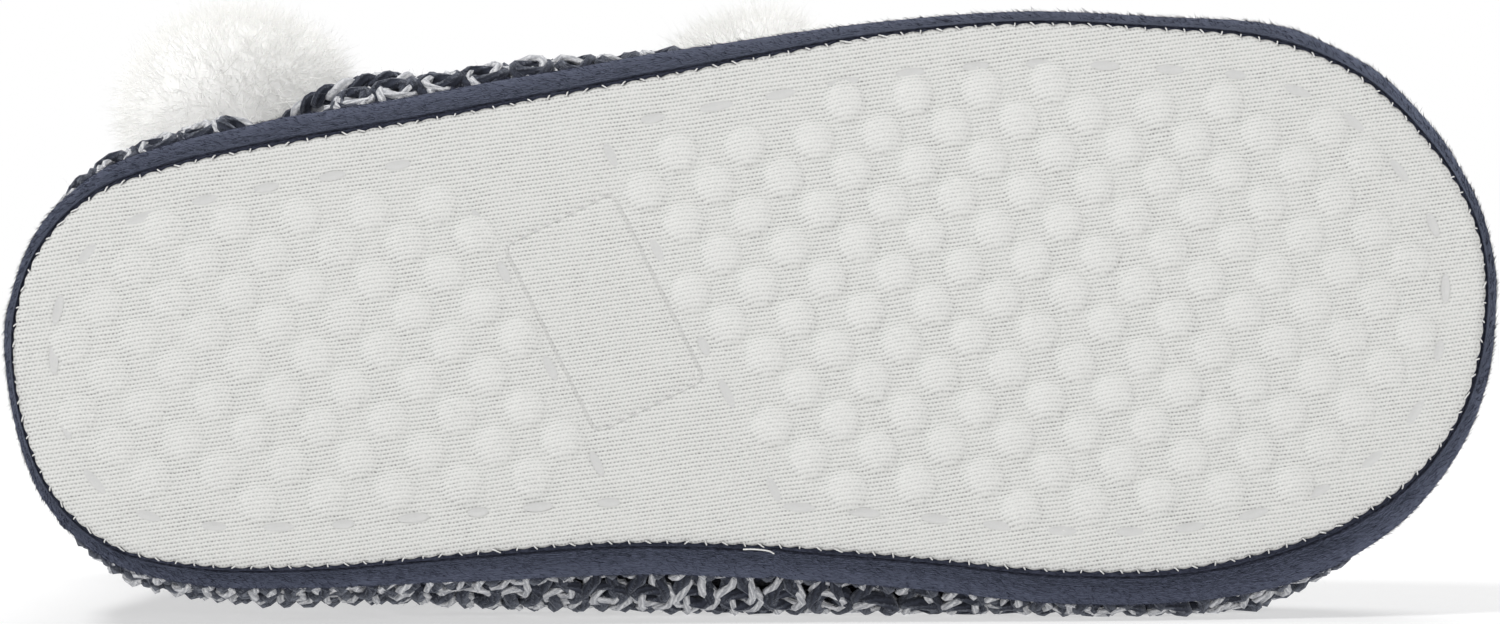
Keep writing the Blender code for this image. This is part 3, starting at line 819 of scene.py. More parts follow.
# Light that scatters on between the white hairs, as a faint even glow
PILE_GLOW, PILE_GLOW_COLOUR = 0.02, (1.0, 0.995, 0.975)


def fluff_material():
    """White pompom pile, a little uneven towards the tips of its hairs."""
    paint = Paint("pompom_pile", roughness=1.0, sheen=0.25, specular=0.05)
    along, _, _ = paint.split(paint.coordinates("UV"))
    paint.glow(PILE_GLOW_COLOUR, PILE_GLOW)
    tip = paint.mix(paint.noise("tuft", paint.boot()), *PILE_TIPS)
    return paint.finish(paint.mix(paint.ramp(along, *PILE_RANGE), PILE_ROOT, tip))


THREAD_TWIST, THREAD_PLIES = 1.6, 2.0
# Painted shade in the grooves of the thread's twist: its shaded and its lit colour
THREAD_GROOVE_SHADE, THREAD_LIT = (0.70, 0.70, 0.69), (0.84, 0.84, 0.83)


def thread_material():
    """Plain white sewing thread, with painted shade in the grooves of its twist."""
    paint = Paint("white_thread", roughness=0.8, sheen=0.1)
    along, around, _ = paint.split(paint.coordinates("UV"))
    twist = paint.wave(along * THREAD_TWIST + around * THREAD_PLIES)
    return paint.finish(paint.mix(twist, THREAD_GROOVE_SHADE, THREAD_LIT), paint.bump(twist, distance=0.05))


FABRIC = fabric_material()
PRESSED = pressed_material()
VELOUR = velour_material()
# A yarn's dark colour is partly painted shade in the hollows between its fibres
NAVY_YARN = yarn_material("navy_yarn", light=(0.050, 0.056, 0.078), dark=(0.016, 0.018, 0.026), sheen=0.45)
WHITE_YARN = yarn_material("white_yarn", light=(0.90, 0.90, 0.91), dark=(0.42, 0.43, 0.46), sheen=0.2)
LINING = fleece_material("navy_fleece", light=(0.060, 0.066, 0.090), dark=(0.022, 0.024, 0.034))
FOOTBED = fleece_material("footbed_fleece", light=(0.62, 0.62, 0.60), dark=(0.44, 0.44, 0.43))
FLUFF = fluff_material()
THREAD = thread_material()


# Camera, light and floor

# Width of the whole picture in pixels
IMAGE_WIDTH = 1500
CAMERA_DISTANCE, CAMERA_ELEVATION_DEG, CAMERA_ROLL_DEG = 1300.0, 2.0, -0.5
CAMERA_TARGET = (-0.25, -81.0, 54.8)
CAMERA_SCALE, SENSOR_WIDTH = 0.1747, 36.0
CLIP_NEAR, CLIP_FAR = 0.05, 50.0


def make_camera():
    """Straight onto the sole, a little above the floor; the scale is millimetres of the sole to a pixel."""
    elevation = math.radians(CAMERA_ELEVATION_DEG)
    back = Vector((0.0, -math.cos(elevation), math.sin(elevation)))
    right = Vector((1.0, 0.0, 0.0))
    level = Matrix((right, back.cross(right), back)).transposed().to_4x4()
    roll = Matrix.Rotation(math.radians(CAMERA_ROLL_DEG), 4, "Z")
    data = bpy.data.cameras.new("camera")
    data.sensor_width = SENSOR_WIDTH
    data.lens = SENSOR_WIDTH * CAMERA_DISTANCE / (CAMERA_SCALE * IMAGE_WIDTH)
    data.clip_start = CLIP_NEAR
    data.clip_end = CLIP_FAR
    camera = bpy.data.objects.new("camera", data)
    position = (Vector(CAMERA_TARGET) + back * CAMERA_DISTANCE) * MM
    camera.matrix_world = Matrix.Translation(position) @ level @ roll
    bpy.context.scene.collection.objects.link(camera)
    bpy.context.scene.camera = camera


# Lights: x, y, z, size and watts
WHITE = (1.0, 1.0, 1.0)
WORLD_STRENGTH = 0.24
LIGHTS = {
    "key": (-0.95, -1.00, 2.10, 0.60, 31.0),
    "fill": (0.70, -1.8, 0.30, 1.2, 7.6),
    "rim": (0.2, 1.5, 1.8, 1.6, 30.0),
}
LIGHT_AIM = (0.0, -0.02, 0.05)


def make_lights():
    """A bright soft room, a key from the upper left, and soft light from the right and from behind."""
    world = bpy.data.worlds.new("studio")
    world.use_nodes = True
    sky = world.node_tree.nodes["Background"]
    sky.inputs["Color"].default_value = (*WHITE, 1.0)
    sky.inputs["Strength"].default_value = WORLD_STRENGTH
    bpy.context.scene.world = world
    for name, (x, y, z, size, watts) in LIGHTS.items():
        data = bpy.data.lights.new(name, "AREA")
        data.shape = "DISK"
        data.size = size
        data.energy = watts
        lamp = bpy.data.objects.new(name, data)
        lamp.location = (x, y, z)
        lamp.rotation_euler = (Vector(LIGHT_AIM) - lamp.location).to_track_quat("-Z", "Y").to_euler()
        bpy.context.scene.collection.objects.link(lamp)


GROUND_RADIUS, GROUND_NEAR, GROUND_FAR, GROUND_GLOW = 8.0, 0.30, 1.1, 0.55
BACKDROP_HEIGHT, ROUND_STEPS = 2.5, 96
FLOOR_COLOUR, BLACK = (0.50, 0.50, 0.50), (0.0, 0.0, 0.0)


def make_floor():
    """A plain pale floor round the boot that passes into a white ground and a white wall far off."""
    ground = Paint("pale_floor", roughness=1.0, specular=0.0)
    x, y, _ = ground.split(ground.coordinates("Object"))
    share = ground.ramp((x * x + y * y) ** 0.5, GROUND_NEAR, GROUND_FAR)
    far = share * share * (3.0 - share * 2.0)
    ground.glow(WHITE, lifted(far, GROUND_GLOW))
    ground.finish(ground.mix(far, FLOOR_COLOUR, BLACK))
    wall = Paint("white_wall", roughness=1.0, specular=0.0)
    wall.glow(WHITE, 1.0)
    wall.finish(BLACK)
    turn = np.linspace(0, 2 * math.pi, ROUND_STEPS, endpoint=False)
    ring = [(GROUND_RADIUS * math.cos(a), GROUND_RADIUS * math.sin(a), 0.0) for a in turn]
    raised = [(x, y, BACKDROP_HEIGHT) for x, y, _ in ring]
    steps = [(step, (step + 1) % ROUND_STEPS) for step in range(ROUND_STEPS)]
    sides = [(here, ROUND_STEPS + here, ROUND_STEPS + beside, beside) for here, beside in steps]
    floor = ("floor", ring, [tuple(range(ROUND_STEPS))], ground)
    backdrop = ("backdrop", ring + raised, sides, wall)
    for name, points, faces, paint in (floor, backdrop):
        mesh = bpy.data.meshes.new(name)
        mesh.from_pydata(points, [], faces)
        mesh.materials.append(paint.material)
        stage = bpy.data.objects.new(name, mesh)
        bpy.context.scene.collection.objects.link(stage)


# Cords and pompoms

CORD_SAMPLE, ROUTE_STEPS = 0.7, 40
PLAIT_LENGTH, PLAIT_WIDTH, PLAIT_DEPTH = 11.0, 1.35, 0.65
STRAND_RADIUS, STRAND_SIDES = 1.12, 8
STRAND_MATERIALS = (0, 0, 1)
CORD_FUZZ, CORD_FUZZ_LENGTH, CORD_FUZZ_WIDTH = 300, 2.0, 0.06
CORD_FUZZ_OUT, CORD_FUZZ_BEND = 0.8, 0.5


def pompom_middle(name):
    """The middle of a pompom's pile."""
    return np.array(POMPOMS[name][:3]) + PILE_SHIFT[name]


def cord_line(name):
    """Closely spaced points on the cord's smooth route, which runs a little way into its pompom."""
    route = np.array(CORD_ROUTES[name])
    inward = unit(pompom_middle(name) - route[-1])
    route = np.vstack((route, route[-1] + inward * CORD_INTO_POMPOM))
    keys = run_length(route)
    curve = smooth_points(keys, route, np.linspace(0, keys[-1], ROUTE_STEPS * len(route)))
    run = run_length(curve)
    return straight_points(run, curve, np.linspace(0, run[-1], int(run[-1] / CORD_SAMPLE) + 1))


def make_cord(name, pompom):
    """A plait of three yarns, two navy and one white, with short fuzz."""
    line = cord_line(name)
    side, up = across_line(line, (0.0, -1.0, 0.0))
    run = run_length(line)
    parts = Parts()
    for strand, material in enumerate(STRAND_MATERIALS):
        phase = 2 * math.pi * (run / PLAIT_LENGTH + strand / len(STRAND_MATERIALS))
        sway = PLAIT_WIDTH * np.sin(phase)
        rise = PLAIT_DEPTH * np.sin(2 * phase)
        middle = line + side * sway[:, None] + up * rise[:, None]
        add_tube(parts, middle, STRAND_RADIUS, STRAND_SIDES, up, material=material)
        picked = RANDOM.integers(0, len(line), CORD_FUZZ)
        directions = unit(RANDOM.normal(size=(CORD_FUZZ, 3)) + CORD_FUZZ_OUT * up[picked])
        lengths = STRAND_RADIUS + RANDOM.random(CORD_FUZZ) * CORD_FUZZ_LENGTH
        bends = RANDOM.normal(size=(CORD_FUZZ, 3)) * CORD_FUZZ_BEND
        add_blades(parts, middle[picked], directions, bends, lengths, CORD_FUZZ_WIDTH, material=material)
    cord = new_piece(f"plaited_cord_{name}", parts, (NAVY_YARN, WHITE_YARN), "plaited_cord", f"cord_{name}")
    path = in_row_frame(line)


HAIRS, HAIR_WIDTH, HAIR_BEND, HAIR_LEVELS = 18000, 0.32, 0.9, 3
HAIR_ROOT, HAIR_REACH, HAIR_REACH_SPREAD = 0.78, 1.11, 0.03
TUFTS, TUFT_PULL = 340, 0.24
LUMPS, LUMP_SIZE, LUMP_SHARPNESS = 10, 0.085, 9.0
CORE_SIZE, CORE_ROWS, CORE_COLUMNS = 0.95, 24, 40
# How far lumps, roots, tufts and tips stray from their even places, as shares of the radius
LUMP_STRAY, ROOT_STRAY, TUFT_STRAY, TIP_STRAY = 0.25, 0.03, 0.06, 0.16


def sphere_points(count):
    """Evenly spread points on a unit sphere, on one spiral."""
    step = np.arange(count) + 0.5
    height = 1 - 2 * step / count
    turn = math.pi * (1 + math.sqrt(5)) * step
    ring = np.sqrt(1 - height ** 2)
    return np.column_stack((ring * np.cos(turn), ring * np.sin(turn), height))


def strewn(count, stray):
    """Directions spread over a sphere, each a little off its even place."""
    return unit(sphere_points(count) + RANDOM.normal(size=(count, 3)) * stray)


def lumpy(directions, lumps):
    """A radius factor for each direction: soft lumps swell the ball here and there."""
    nearness = directions @ lumps.T
    usual = LUMPS / (2 * LUMP_SHARPNESS)
    return 1 + LUMP_SIZE * (np.exp(LUMP_SHARPNESS * (nearness - 1)).sum(axis=-1) - usual)


def make_pompom(name):
    """A white pompom: a soft core and thousands of hairs drawn together into tufts."""
    middle = pompom_middle(name)
    radius = POMPOMS[name][3]
    flat = np.array((1.0, POMPOM_FLATTEN, 1.0))
    lumps = strewn(LUMPS, LUMP_STRAY)
    parts = Parts()
    tilt = np.linspace(0, math.pi, CORE_ROWS)
    turn = np.linspace(0, 2 * math.pi, CORE_COLUMNS, endpoint=False)
    ball = np.stack((np.outer(np.sin(tilt), np.cos(turn)), np.outer(np.sin(tilt), np.sin(turn)),
                     np.outer(np.cos(tilt), np.ones(CORE_COLUMNS))), axis=-1)
    core = ball * (radius * CORE_SIZE * lumpy(ball, lumps))[..., None]
    parts.add_grid(middle + core * flat, wrap_columns=True)
    roots = strewn(HAIRS, ROOT_STRAY)
    tufts = strewn(TUFTS, TUFT_STRAY)
    tuft = tufts[np.argmax(roots @ tufts.T, axis=1)]
    wander = RANDOM.normal(size=roots.shape) * TIP_STRAY
    tips = unit(roots * (1 - TUFT_PULL) + tuft * TUFT_PULL + wander)
    reach = radius * lumpy(roots, lumps) * (HAIR_REACH + HAIR_REACH_SPREAD * RANDOM.normal(size=HAIRS))
    start = roots * radius * HAIR_ROOT
    run = tips * reach[:, None] - start
    bends = RANDOM.normal(size=roots.shape) * HAIR_BEND
    add_blades(parts, middle + start * flat, run * flat - bends, bends, np.linalg.norm(run, axis=1),
               HAIR_WIDTH, HAIR_LEVELS)
    return new_piece(f"fluffy_pompom_{name}", parts, (FLUFF,), "pompom_fluff", f"pompom_{name}")


# Sole

SOLE_ALONG, SOLE_ACROSS, SOLE_FILL = 560, 128, 1.0
EDGE_STATIONS, TACK_STATIONS, NEAREST_PARTS = 1440, 720, 60
# Share of a dome's radius where its painted highlight starts to fade, and the rise of the side's first ring
# above the lip
DOME_RIM, RIM_STEP = 0.86, 0.2
# Where domes and puffs start and where they are full, in millimetres from the fabric's edge
RELIEF_START = (0.5, 4.0)
# Soft puffs of the fabric: height, and for each way the wave's length, its waver and the waver's length
PUFF_HEIGHT, PUFFS_ALONG, PUFFS_ACROSS = 0.08, (17.0, 1.3, 21.0), (13.0, 0.9, 29.0)


def waist_lean(y):
    """How far the slanted waist runs forward at a distance to the medial side."""
    return y * math.tan(math.radians(WAIST_SLANT_DEG))


def nearest_distance(x, y, spots):
    """Distance of plan points to the nearest of some spots, worked out a part of the points at a time."""
    flat = np.column_stack((np.ravel(x), np.ravel(y)))
    nearest = [np.sqrt(((part[:, None] - spots[None]) ** 2).sum(axis=2)).min(axis=1)
               for part in np.array_split(flat, NEAREST_PARTS)]
    return np.concatenate(nearest).reshape(np.shape(x))


def edge_distance(x, y):
    """Distance of plan points to the fabric's edge."""
    return nearest_distance(x, y, fabric_outline(EDGE_STATIONS))


def dome_middles():
    """Middles of all domes: lattice points of each field, inside the margin and clear of the waist."""
    steps = np.arange(-DOME_REACH, DOME_REACH + 1)
    row, step = np.meshgrid(steps, steps, indexing="ij")
    along, across = turned(DOME_PITCH * (step + 0.5 * (row % 2)), DOME_ROW * row, DOME_TURN_DEG)
    middles = []
    for start_x, start_y, ahead_of_waist in DOME_FIELDS:
        x = start_x + along
        y = start_y + across
        lean = x - waist_lean(y)
        if ahead_of_waist:
            kept = lean > WAIST_FRONT + WAIST_CLEAR
        else:
            kept = lean < WAIST_BACK - WAIST_CLEAR
        kept &= in_outline(x, y) & (edge_distance(x, y) > DOME_MARGIN)
        middles.append(np.column_stack((x[kept], y[kept])))
    return np.vstack(middles)


def tack_places():
    """Middle and direction of each tack: round each field of domes and along both lines of the waist."""
    ring = offset_outline(-TACK_INSET, TACK_STATIONS)
    run = run_length(looped(ring))
    at = np.searchsorted(run, np.arange(round(run[-1] / TACK_SPACING)) * TACK_SPACING) % len(ring)
    lean = ring[at, 0] - waist_lean(ring[at, 1])
    at = at[(lean < WAIST_BACK) | (lean > WAIST_FRONT)]
    spots = list(zip(ring[at], tangents(ring, True)[at]))
    down_waist = np.array(turned(1.0, 0.0, 90 - WAIST_SLANT_DEG))
    for line_x, start_y, kept in WAIST_TACKS:
        start = np.array((line_x + waist_lean(start_y), start_y))
        spots += [(start + down_waist * WAIST_TACK_SPACING * step, down_waist) for step in kept]
    return spots


def tack_dimples(x, y):
    """How far the fabric is drawn in round the pressed tacks."""
    depth = np.zeros(np.shape(x))
    for middle, tangent in tack_places():
        along = ((x - middle[0]) * tangent[0] + (y - middle[1]) * tangent[1]) / (TACK_LENGTH * DIMPLE_REACH)
        across = ((y - middle[1]) * tangent[0] - (x - middle[0]) * tangent[1]) / (TACK_WIDTH * DIMPLE_REACH)
        depth += DIMPLE_DEPTH * np.exp(-along ** 2 - across ** 2)
    return depth


def puffs(at, beside, length, waver, waver_length):
    """A wavering row of soft waves."""
    return np.sin(at / length + waver * np.sin(beside / waver_length))


def sole_relief(x, y):
    """How far the fabric stands out from the flat sole: puffs, the tacks' dimples and the frame's groove."""
    relief = PUFF_HEIGHT * puffs(x, y, *PUFFS_ALONG) * puffs(y, x, *PUFFS_ACROSS) - tack_dimples(x, y)
    return relief - FRAME_DEPTH * np.exp(-(frame_distance(x, y) / FRAME_GROOVE) ** 2)


def scallops(ring):
    """How far the sewn fabric edge swells between its stitches, at each point of a closed outline."""
    run = run_length(looped(ring))
    count = round(run[-1] / SCALLOP_SPACING)
    return SCALLOP_DEPTH * (np.abs(np.sin(math.pi * count * run[:-1] / run[-1])) - SCALLOP_MIDDLE)


def make_sole():
    """The fabric sole: a fine grid across the bottom, a scalloped sewn edge, and plain sides and top."""
    count = 2 * SOLE_ALONG
    edge = fabric_outline(count)
    edge = edge + outward(edge) * scallops(edge)[:, None]
    x, y = np.moveaxis(across_ring(edge, SOLE_ACROSS), -1, 0)
    margin = edge_distance(x, y)
    margin[:, (0, -1)] = 0.0
    lip = FABRIC_LIP * np.clip(1 - margin / FABRIC_ROUND, 0, 1) ** 2
    radius = np.clip(nearest_distance(x, y, dome_middles()) / DOME_RADIUS, 0, 1)
    tall = smooth(DOME_HEIGHTS["x"], DOME_HEIGHTS["height"], x)
    domes = tall * (1 - radius ** 2) ** DOME_ROUNDNESS
    height = spring(x) + lip - step_up(margin, *RELIEF_START) * (domes + sole_relief(x, y))
    # Where the fabric gets its painted highlight on the domes
    dome_highlight_mask = tall * (1 - step_up(radius, DOME_RIM, 1.0))
    parts = Parts()
    parts.add_grid(np.stack((x, y, height), axis=-1), places=np.stack((dome_highlight_mask, domes), axis=-1))
    rims = [place(edge, FABRIC_LIP)]
    rims += [place(offset_outline(sole_side(rise, count), count), rise)
             for rise in (FABRIC_LIP + RIM_STEP, SOLE_THICKNESS / 2, SOLE_THICKNESS)]
    parts.add_grid(np.array(rims), wrap_columns=True, flip=True)
    parts.add_grid(across_ring(rims[-1], 1), flip=True)
    sole = new_piece("sole_fabric", parts, (FABRIC,), "sole_fabric", "outsole")
    merge_points(sole)


TACK_SIDES, TACK_SIZE_SPREAD = 18, 0.14
# Rings of a tack: share of its size and of its height
TACK_RINGS = ((1.0, -0.05), (0.8, 0.75), (0.45, 1.0), (0.02, 1.0))


def make_tacks():
    """Smooth oval spots pressed into the fabric."""
    parts = Parts()
    turn = np.linspace(0, 2 * math.pi, TACK_SIDES, endpoint=False)
    for middle, tangent in tack_places():
        across = np.array((-tangent[1], tangent[0]))
        size = 1 + TACK_SIZE_SPREAD * RANDOM.normal()
        rings = []
        for share, rise in TACK_RINGS:
            plan = (middle + np.outer(np.cos(turn) * share * TACK_LENGTH / 2 * size, tangent)
                    + np.outer(np.sin(turn) * share * TACK_WIDTH / 2, across))
            sunk = tack_dimples(plan[:, 0], plan[:, 1]) - TACK_SUNK - TACK_PROUD * rise
            rings.append(np.column_stack((plan, spring(plan[:, 0]) + sunk)))
        parts.add_grid(np.array(rings), wrap_columns=True)
    new_piece("sole_tacks", parts, (PRESSED,), "sole_fabric")


UP = (0.0, 0.0, 1.0)
STITCH_RADIUS, STITCH_SIDES, STITCH_BASE = 0.13, 4, 0.55
STITCH_LEAN, STITCH_LEAN_SPREAD, STITCH_REACH, STITCH_REACH_SPREAD = 0.2, 0.3, 0.18, 0.22
# Points of a stitch: share of its reach across the edge, and height
STITCH_LINE = ((-1.1, -0.02), (-0.4, -0.1), (0.2, 0.05), (0.7, 0.4), (0.95, 1.0))


def make_seam_stitches():
    """White thread showing at each notch of the sewn edge, slanting over it onto the band."""
    ring = fabric_outline(EDGE_STATIONS)
    run = run_length(looped(ring))
    stitches = round(run[-1] / SCALLOP_SPACING)
    starts = np.searchsorted(run, run[-1] * np.arange(stitches) / stitches) % len(ring)
    parts = Parts()
    for middle, normal, tangent in zip(ring[starts], outward(ring)[starts], tangents(ring, True)[starts]):
        lean = STITCH_LEAN + STITCH_LEAN_SPREAD * RANDOM.normal()
        reach = STITCH_REACH + STITCH_REACH_SPREAD * RANDOM.random()
        line = []
        for share, height in STITCH_LINE:
            spot = middle + normal * share * reach + tangent * lean * share
            line.append((*spot, spring(spot[0]) + FABRIC_LIP * STITCH_BASE + height))
        add_tube(parts, np.array(line), STITCH_RADIUS, STITCH_SIDES, UP)
    new_piece("seam_stitches", parts, (THREAD,), "sole_fabric")


# Band

BAND_STATIONS, BAND_SEAM_TURN = 900, 0.2526
BAND_LUMP, BAND_LUMP_KNOTS = 0.16, 70
SEAM_DENT, SEAM_DENT_REACH = 0.45, 1.6
# The band's cross-section: share of the velour's height, and how far in from the side's face. It starts at
# the fabric's seam, runs up outside, in under the knit and back down inside.
BAND_PROFILE = (
    (0.03, 0.25), (0.00, -0.05), (0.07, -0.10), (0.16, -0.18), (0.27, -0.24), (0.39, -0.26), (0.52, -0.26),
    (0.65, -0.24), (0.77, -0.18), (0.87, -0.05), (0.95, 0.22), (0.99, 0.70), (1.01, 1.30), (1.02, 2.4),
    (1.02, 4.2), (1.02, 9.4), (0.98, 9.4), (0.97, 2.6), (0.80, 2.2), (0.45, 2.2), (0.12, 2.1), (0.05, 1.2),
)
BAND_OUTER_INSET, BAND_MEASURE_RING, BAND_FACE = 0.5, 6, slice(1, 13)


def make_band():
    """The velour band: a rounded strip from the fabric's seam up, with a sewn end and a brushed nap."""
    count = BAND_STATIONS
    bottom = FABRIC_LIP + GAP
    rise = by_side("velour", count) - bottom
    lumps = wandering(count, BAND_LUMP_KNOTS, BAND_LUMP)
    gap_to_seam = np.abs((np.arange(count) / count - BAND_SEAM_TURN) * count)
    seam_dent = SEAM_DENT * np.exp(-(gap_to_seam / SEAM_DENT_REACH) ** 2)
    rings = []
    for height_share, inset in BAND_PROFILE:
        height = bottom + rise * height_share
        offset = side_offset(height, count) - inset
        if inset < BAND_OUTER_INSET:
            offset = offset + (lumps * math.sin(math.pi * min(height_share, 1.0)) - seam_dent)
        rings.append(place(offset_outline(offset, count), height))
    points = np.roll(np.array(rings), -round(BAND_SEAM_TURN * count), axis=1)
    run = run_length(looped(points[BAND_MEASURE_RING]))
    around = run_length(points[:, 0])
    places = np.meshgrid(run, np.append(around, around[-1] + 1.0))
    parts = Parts()
    parts.add_grid(points, True, True, np.stack(places, axis=-1))
    add_nap(parts, points[BAND_FACE], run)
    new_piece("velour_band", parts, (VELOUR,), "velour", "side_band")


NAP, NAP_LENGTH, NAP_WIDTH, NAP_START = 20000, 1.3, 0.10, 1.6
NAP_OUT, NAP_OUT_SPREAD, NAP_STRAY, NAP_BEND = 0.35, 0.3, 0.35, 0.25
NAP_SHORTEST, NAP_LENGTH_SPREAD = 0.6, 0.6


def add_nap(parts, face, run):
    """Short fibres on the band's outer face, combed along it and a little outward."""
    rows, columns = face.shape[:2]
    row = NAP_START + RANDOM.random(NAP) * (rows - 1 - NAP_START)
    column = RANDOM.integers(0, columns, NAP)
    low = np.minimum(row.astype(int), rows - 2)
    share = (row - low)[:, None]
    below = face[low, column]
    above = face[low + 1, column]
    along = face[low, (column + 1) % columns] - below
    roots = below * (1 - share) + above * share + along * RANDOM.random(NAP)[:, None]
    along = unit(along)
    normal = unit(np.cross(unit(above - below), along))
    normal *= np.sign(((roots - face.mean(axis=(0, 1))) * normal).sum(axis=1))[:, None]
    directions = along + normal * (NAP_OUT + NAP_OUT_SPREAD * RANDOM.random((NAP, 1)))
    directions += RANDOM.normal(size=roots.shape) * NAP_STRAY
    lengths = NAP_LENGTH * (NAP_SHORTEST + NAP_LENGTH_SPREAD * RANDOM.random(NAP))
    bends = floor_bends(roots, directions, lengths, -normal * NAP_BEND)
    before = len(parts.places)
    add_blades(parts, roots, directions, bends, lengths, NAP_WIDTH)
    # The nap takes the band's own texture places, the same at all corners of a fibre.
    for group, size in ((before, 4), (before + 1, 3)):
        parts.places[group] = np.repeat(np.column_stack((run[column], row)), size, axis=0)


# The thread's loose end: turns from the band's seam, and height
THREAD_END = ((-0.0070, 0.9), (-0.0050, 0.7), (-0.0030, 0.8), (-0.0014, 1.1), (-0.0004, 1.8))
THREAD_RADIUS, THREAD_SIDES, THREAD_PROUD, THREAD_STEPS = 0.15, 6, 0.25, 24
THREAD_STATIONS = 12 * BAND_STATIONS


def make_thread_end():
    """The loose end of the sewing thread that lies beside the band's end seam."""
    ring = fabric_outline(THREAD_STATIONS)
    normal = outward(ring)
    line = []
    for turn_shift, height in THREAD_END:
        at = round((BAND_SEAM_TURN + turn_shift) * THREAD_STATIONS)
        spot = ring[at] + normal[at] * (side_offset(height, THREAD_STATIONS)[at] + THREAD_PROUD)
        line.append((*spot, height + spring(spot[0])))
    fine = np.linspace(0, len(line) - 1, THREAD_STEPS)
    line = smooth_points(np.arange(len(line)), np.array(line), fine)
    parts = Parts()
    add_tube(parts, line, THREAD_RADIUS, THREAD_SIDES, UP)
    new_piece("thread_end", parts, (THREAD,), "sole_fabric")


# Knit

KNIT_STATIONS, KNIT_ROW_STEP = 480, 0.125
TUCK_ROWS, TUCK_DOWN, TUCK_IN = 5, 2.6, 0.8
# Where the knit stands back: shares of the length where it passes behind the band on either side, the place
# that is pressed in, and the rows of the upper's table over which each ends
HIDDEN_DEPTH, HIDDEN_MEDIAL, HIDDEN_LATERAL = 3.4, (0.94, 1.0), (0.46, 0.58)
PRESSED_SHARE, PRESSED_REACH, PRESSED_POWER, PRESSED_DEPTH = 0.188, 0.030, 4, 5.8
START_ROWS, LOW_ROWS = (0.0, 1.2), (4.0, 7.5)


def crease_depth(turn, row):
    """How far the slack knit sinks at places given in turns round the boot and rows of the upper's table."""
    depth = np.zeros(np.broadcast(turn, row).shape)
    for middle_turn, middle_row, turn_reach, row_reach, slope, deepest in CREASES:
        along = (turn - middle_turn + 0.5) % 1.0 - 0.5
        across = row - middle_row - slope * along
        depth += deepest * np.exp(-(along / turn_reach) ** 2 - (across / row_reach) ** 2)
    return depth


def drawn_back(count):
    """How far the lowest rows of the knit stand back at each station: hidden behind the band along the
    lateral forefoot and round the tip of the toe, and pressed in beside the rear pompom."""
    _, medial = side_angles(count)
    share = shares(count)
    hidden = np.where(medial, step_up(share, *HIDDEN_MEDIAL), step_up(share, *HIDDEN_LATERAL))
    pressed = np.exp(-((share - PRESSED_SHARE) / PRESSED_REACH) ** PRESSED_POWER)
    return HIDDEN_DEPTH * hidden, PRESSED_DEPTH * np.where(medial, 0.0, pressed)


def behind_band(velour, places):
    """How far the knit stands back at each grid row and station: it starts behind the velour where that is
    full height, and its lowest rows are drawn back further in places."""
    covered = step_up(velour, BAND_HEIGHT - TUCK_DOWN, BAND_HEIGHT)
    start = (BAND_THICKNESS + GAP) * covered[None] * (1 - step_up(places, *START_ROWS))[:, None]
    hidden, pressed = drawn_back(len(velour))
    low_rows = (1 - step_up(places, *LOW_ROWS))[:, None]
    return np.maximum(start, hidden[None] * low_rows) + pressed[None] * low_rows


def surface_normals(points):
    """Outward normals of a grid of points that is closed along its second axis."""
    around = np.roll(points, -1, axis=1) - np.roll(points, 1, axis=1)
    normals = unit(np.cross(np.gradient(points, axis=0), around))
    if ((points - points.mean(axis=1, keepdims=True)) * normals).sum() < 0:
        normals = -normals
    return normals


def knit_surface():
    """The knit's outer face as a grid of points and normals, from under the velour's edge to the collar,
    with each grid row's place in the upper's table: -1 at the start, 0 at the top of the side."""
    count = KNIT_STATIONS
    velour = by_side("velour", count)
    side_top = place(offset_outline(side_offset(BAND_HEIGHT, count), count), BAND_HEIGHT)
    to_upper = upper_ring(0.0, count) - side_top
    rows = []
    tucked = np.arange(TUCK_ROWS) / TUCK_ROWS
    for share in tucked:
        height = (velour - TUCK_DOWN) * (1 - share) + BAND_HEIGHT * share
        offset = side_offset(height, count) - TUCK_IN * (1 - share) ** 2
        rows.append(place(offset_outline(offset, count), height) + to_upper * share)
    positions = np.arange(0, COLLAR + KNIT_ROW_STEP / 2, KNIT_ROW_STEP)
    points = np.array(rows + [upper_ring(position, count) for position in positions])
    places = np.concatenate((tucked - 1, positions))
    points[..., :2] -= outward(fabric_outline(count))[None] * behind_band(velour, places)[..., None]
    turn = np.arange(count)[None] / count
    sunk = points - surface_normals(points) * crease_depth(turn, places[:, None])[..., None]
    sunk = above_floor(sunk)
    return sunk, surface_normals(sunk), places


def sample(grid, row, station):
    """Values of a grid between its points; stations wrap round."""
    low = np.clip(np.floor(row).astype(int), 0, grid.shape[0] - 2)
    left = np.floor(station).astype(int)
    up = (row - low)[:, None]
    along = (station - left)[:, None]
    left = left % grid.shape[1]
    right = (left + 1) % grid.shape[1]
    below = grid[low, left] * (1 - along) + grid[low, right] * along
    above = grid[low + 1, left] * (1 - along) + grid[low + 1, right] * along
    return below * (1 - up) + above * up


# Zones of the knit: first and last row of the upper's table, courses at the back and at the front, and rib
KNIT_ZONES = {
    "foot": (-1.0, 4.0, 8, 8, 0.0),
    "instep": (4.0, 6.0, 5, 9, 0.0),
    "ankle": (6.0, 8.0, 5, 9, 0.0),
    "shaft": (8.0, 10.0, 6, 7, 0.0),
    "hem": (10.1, 11.0, 4, 4, 1.3),
}
FRONT_SHARES, SHORT_COURSE_SPACING = (0.25, 0.85), 3.1


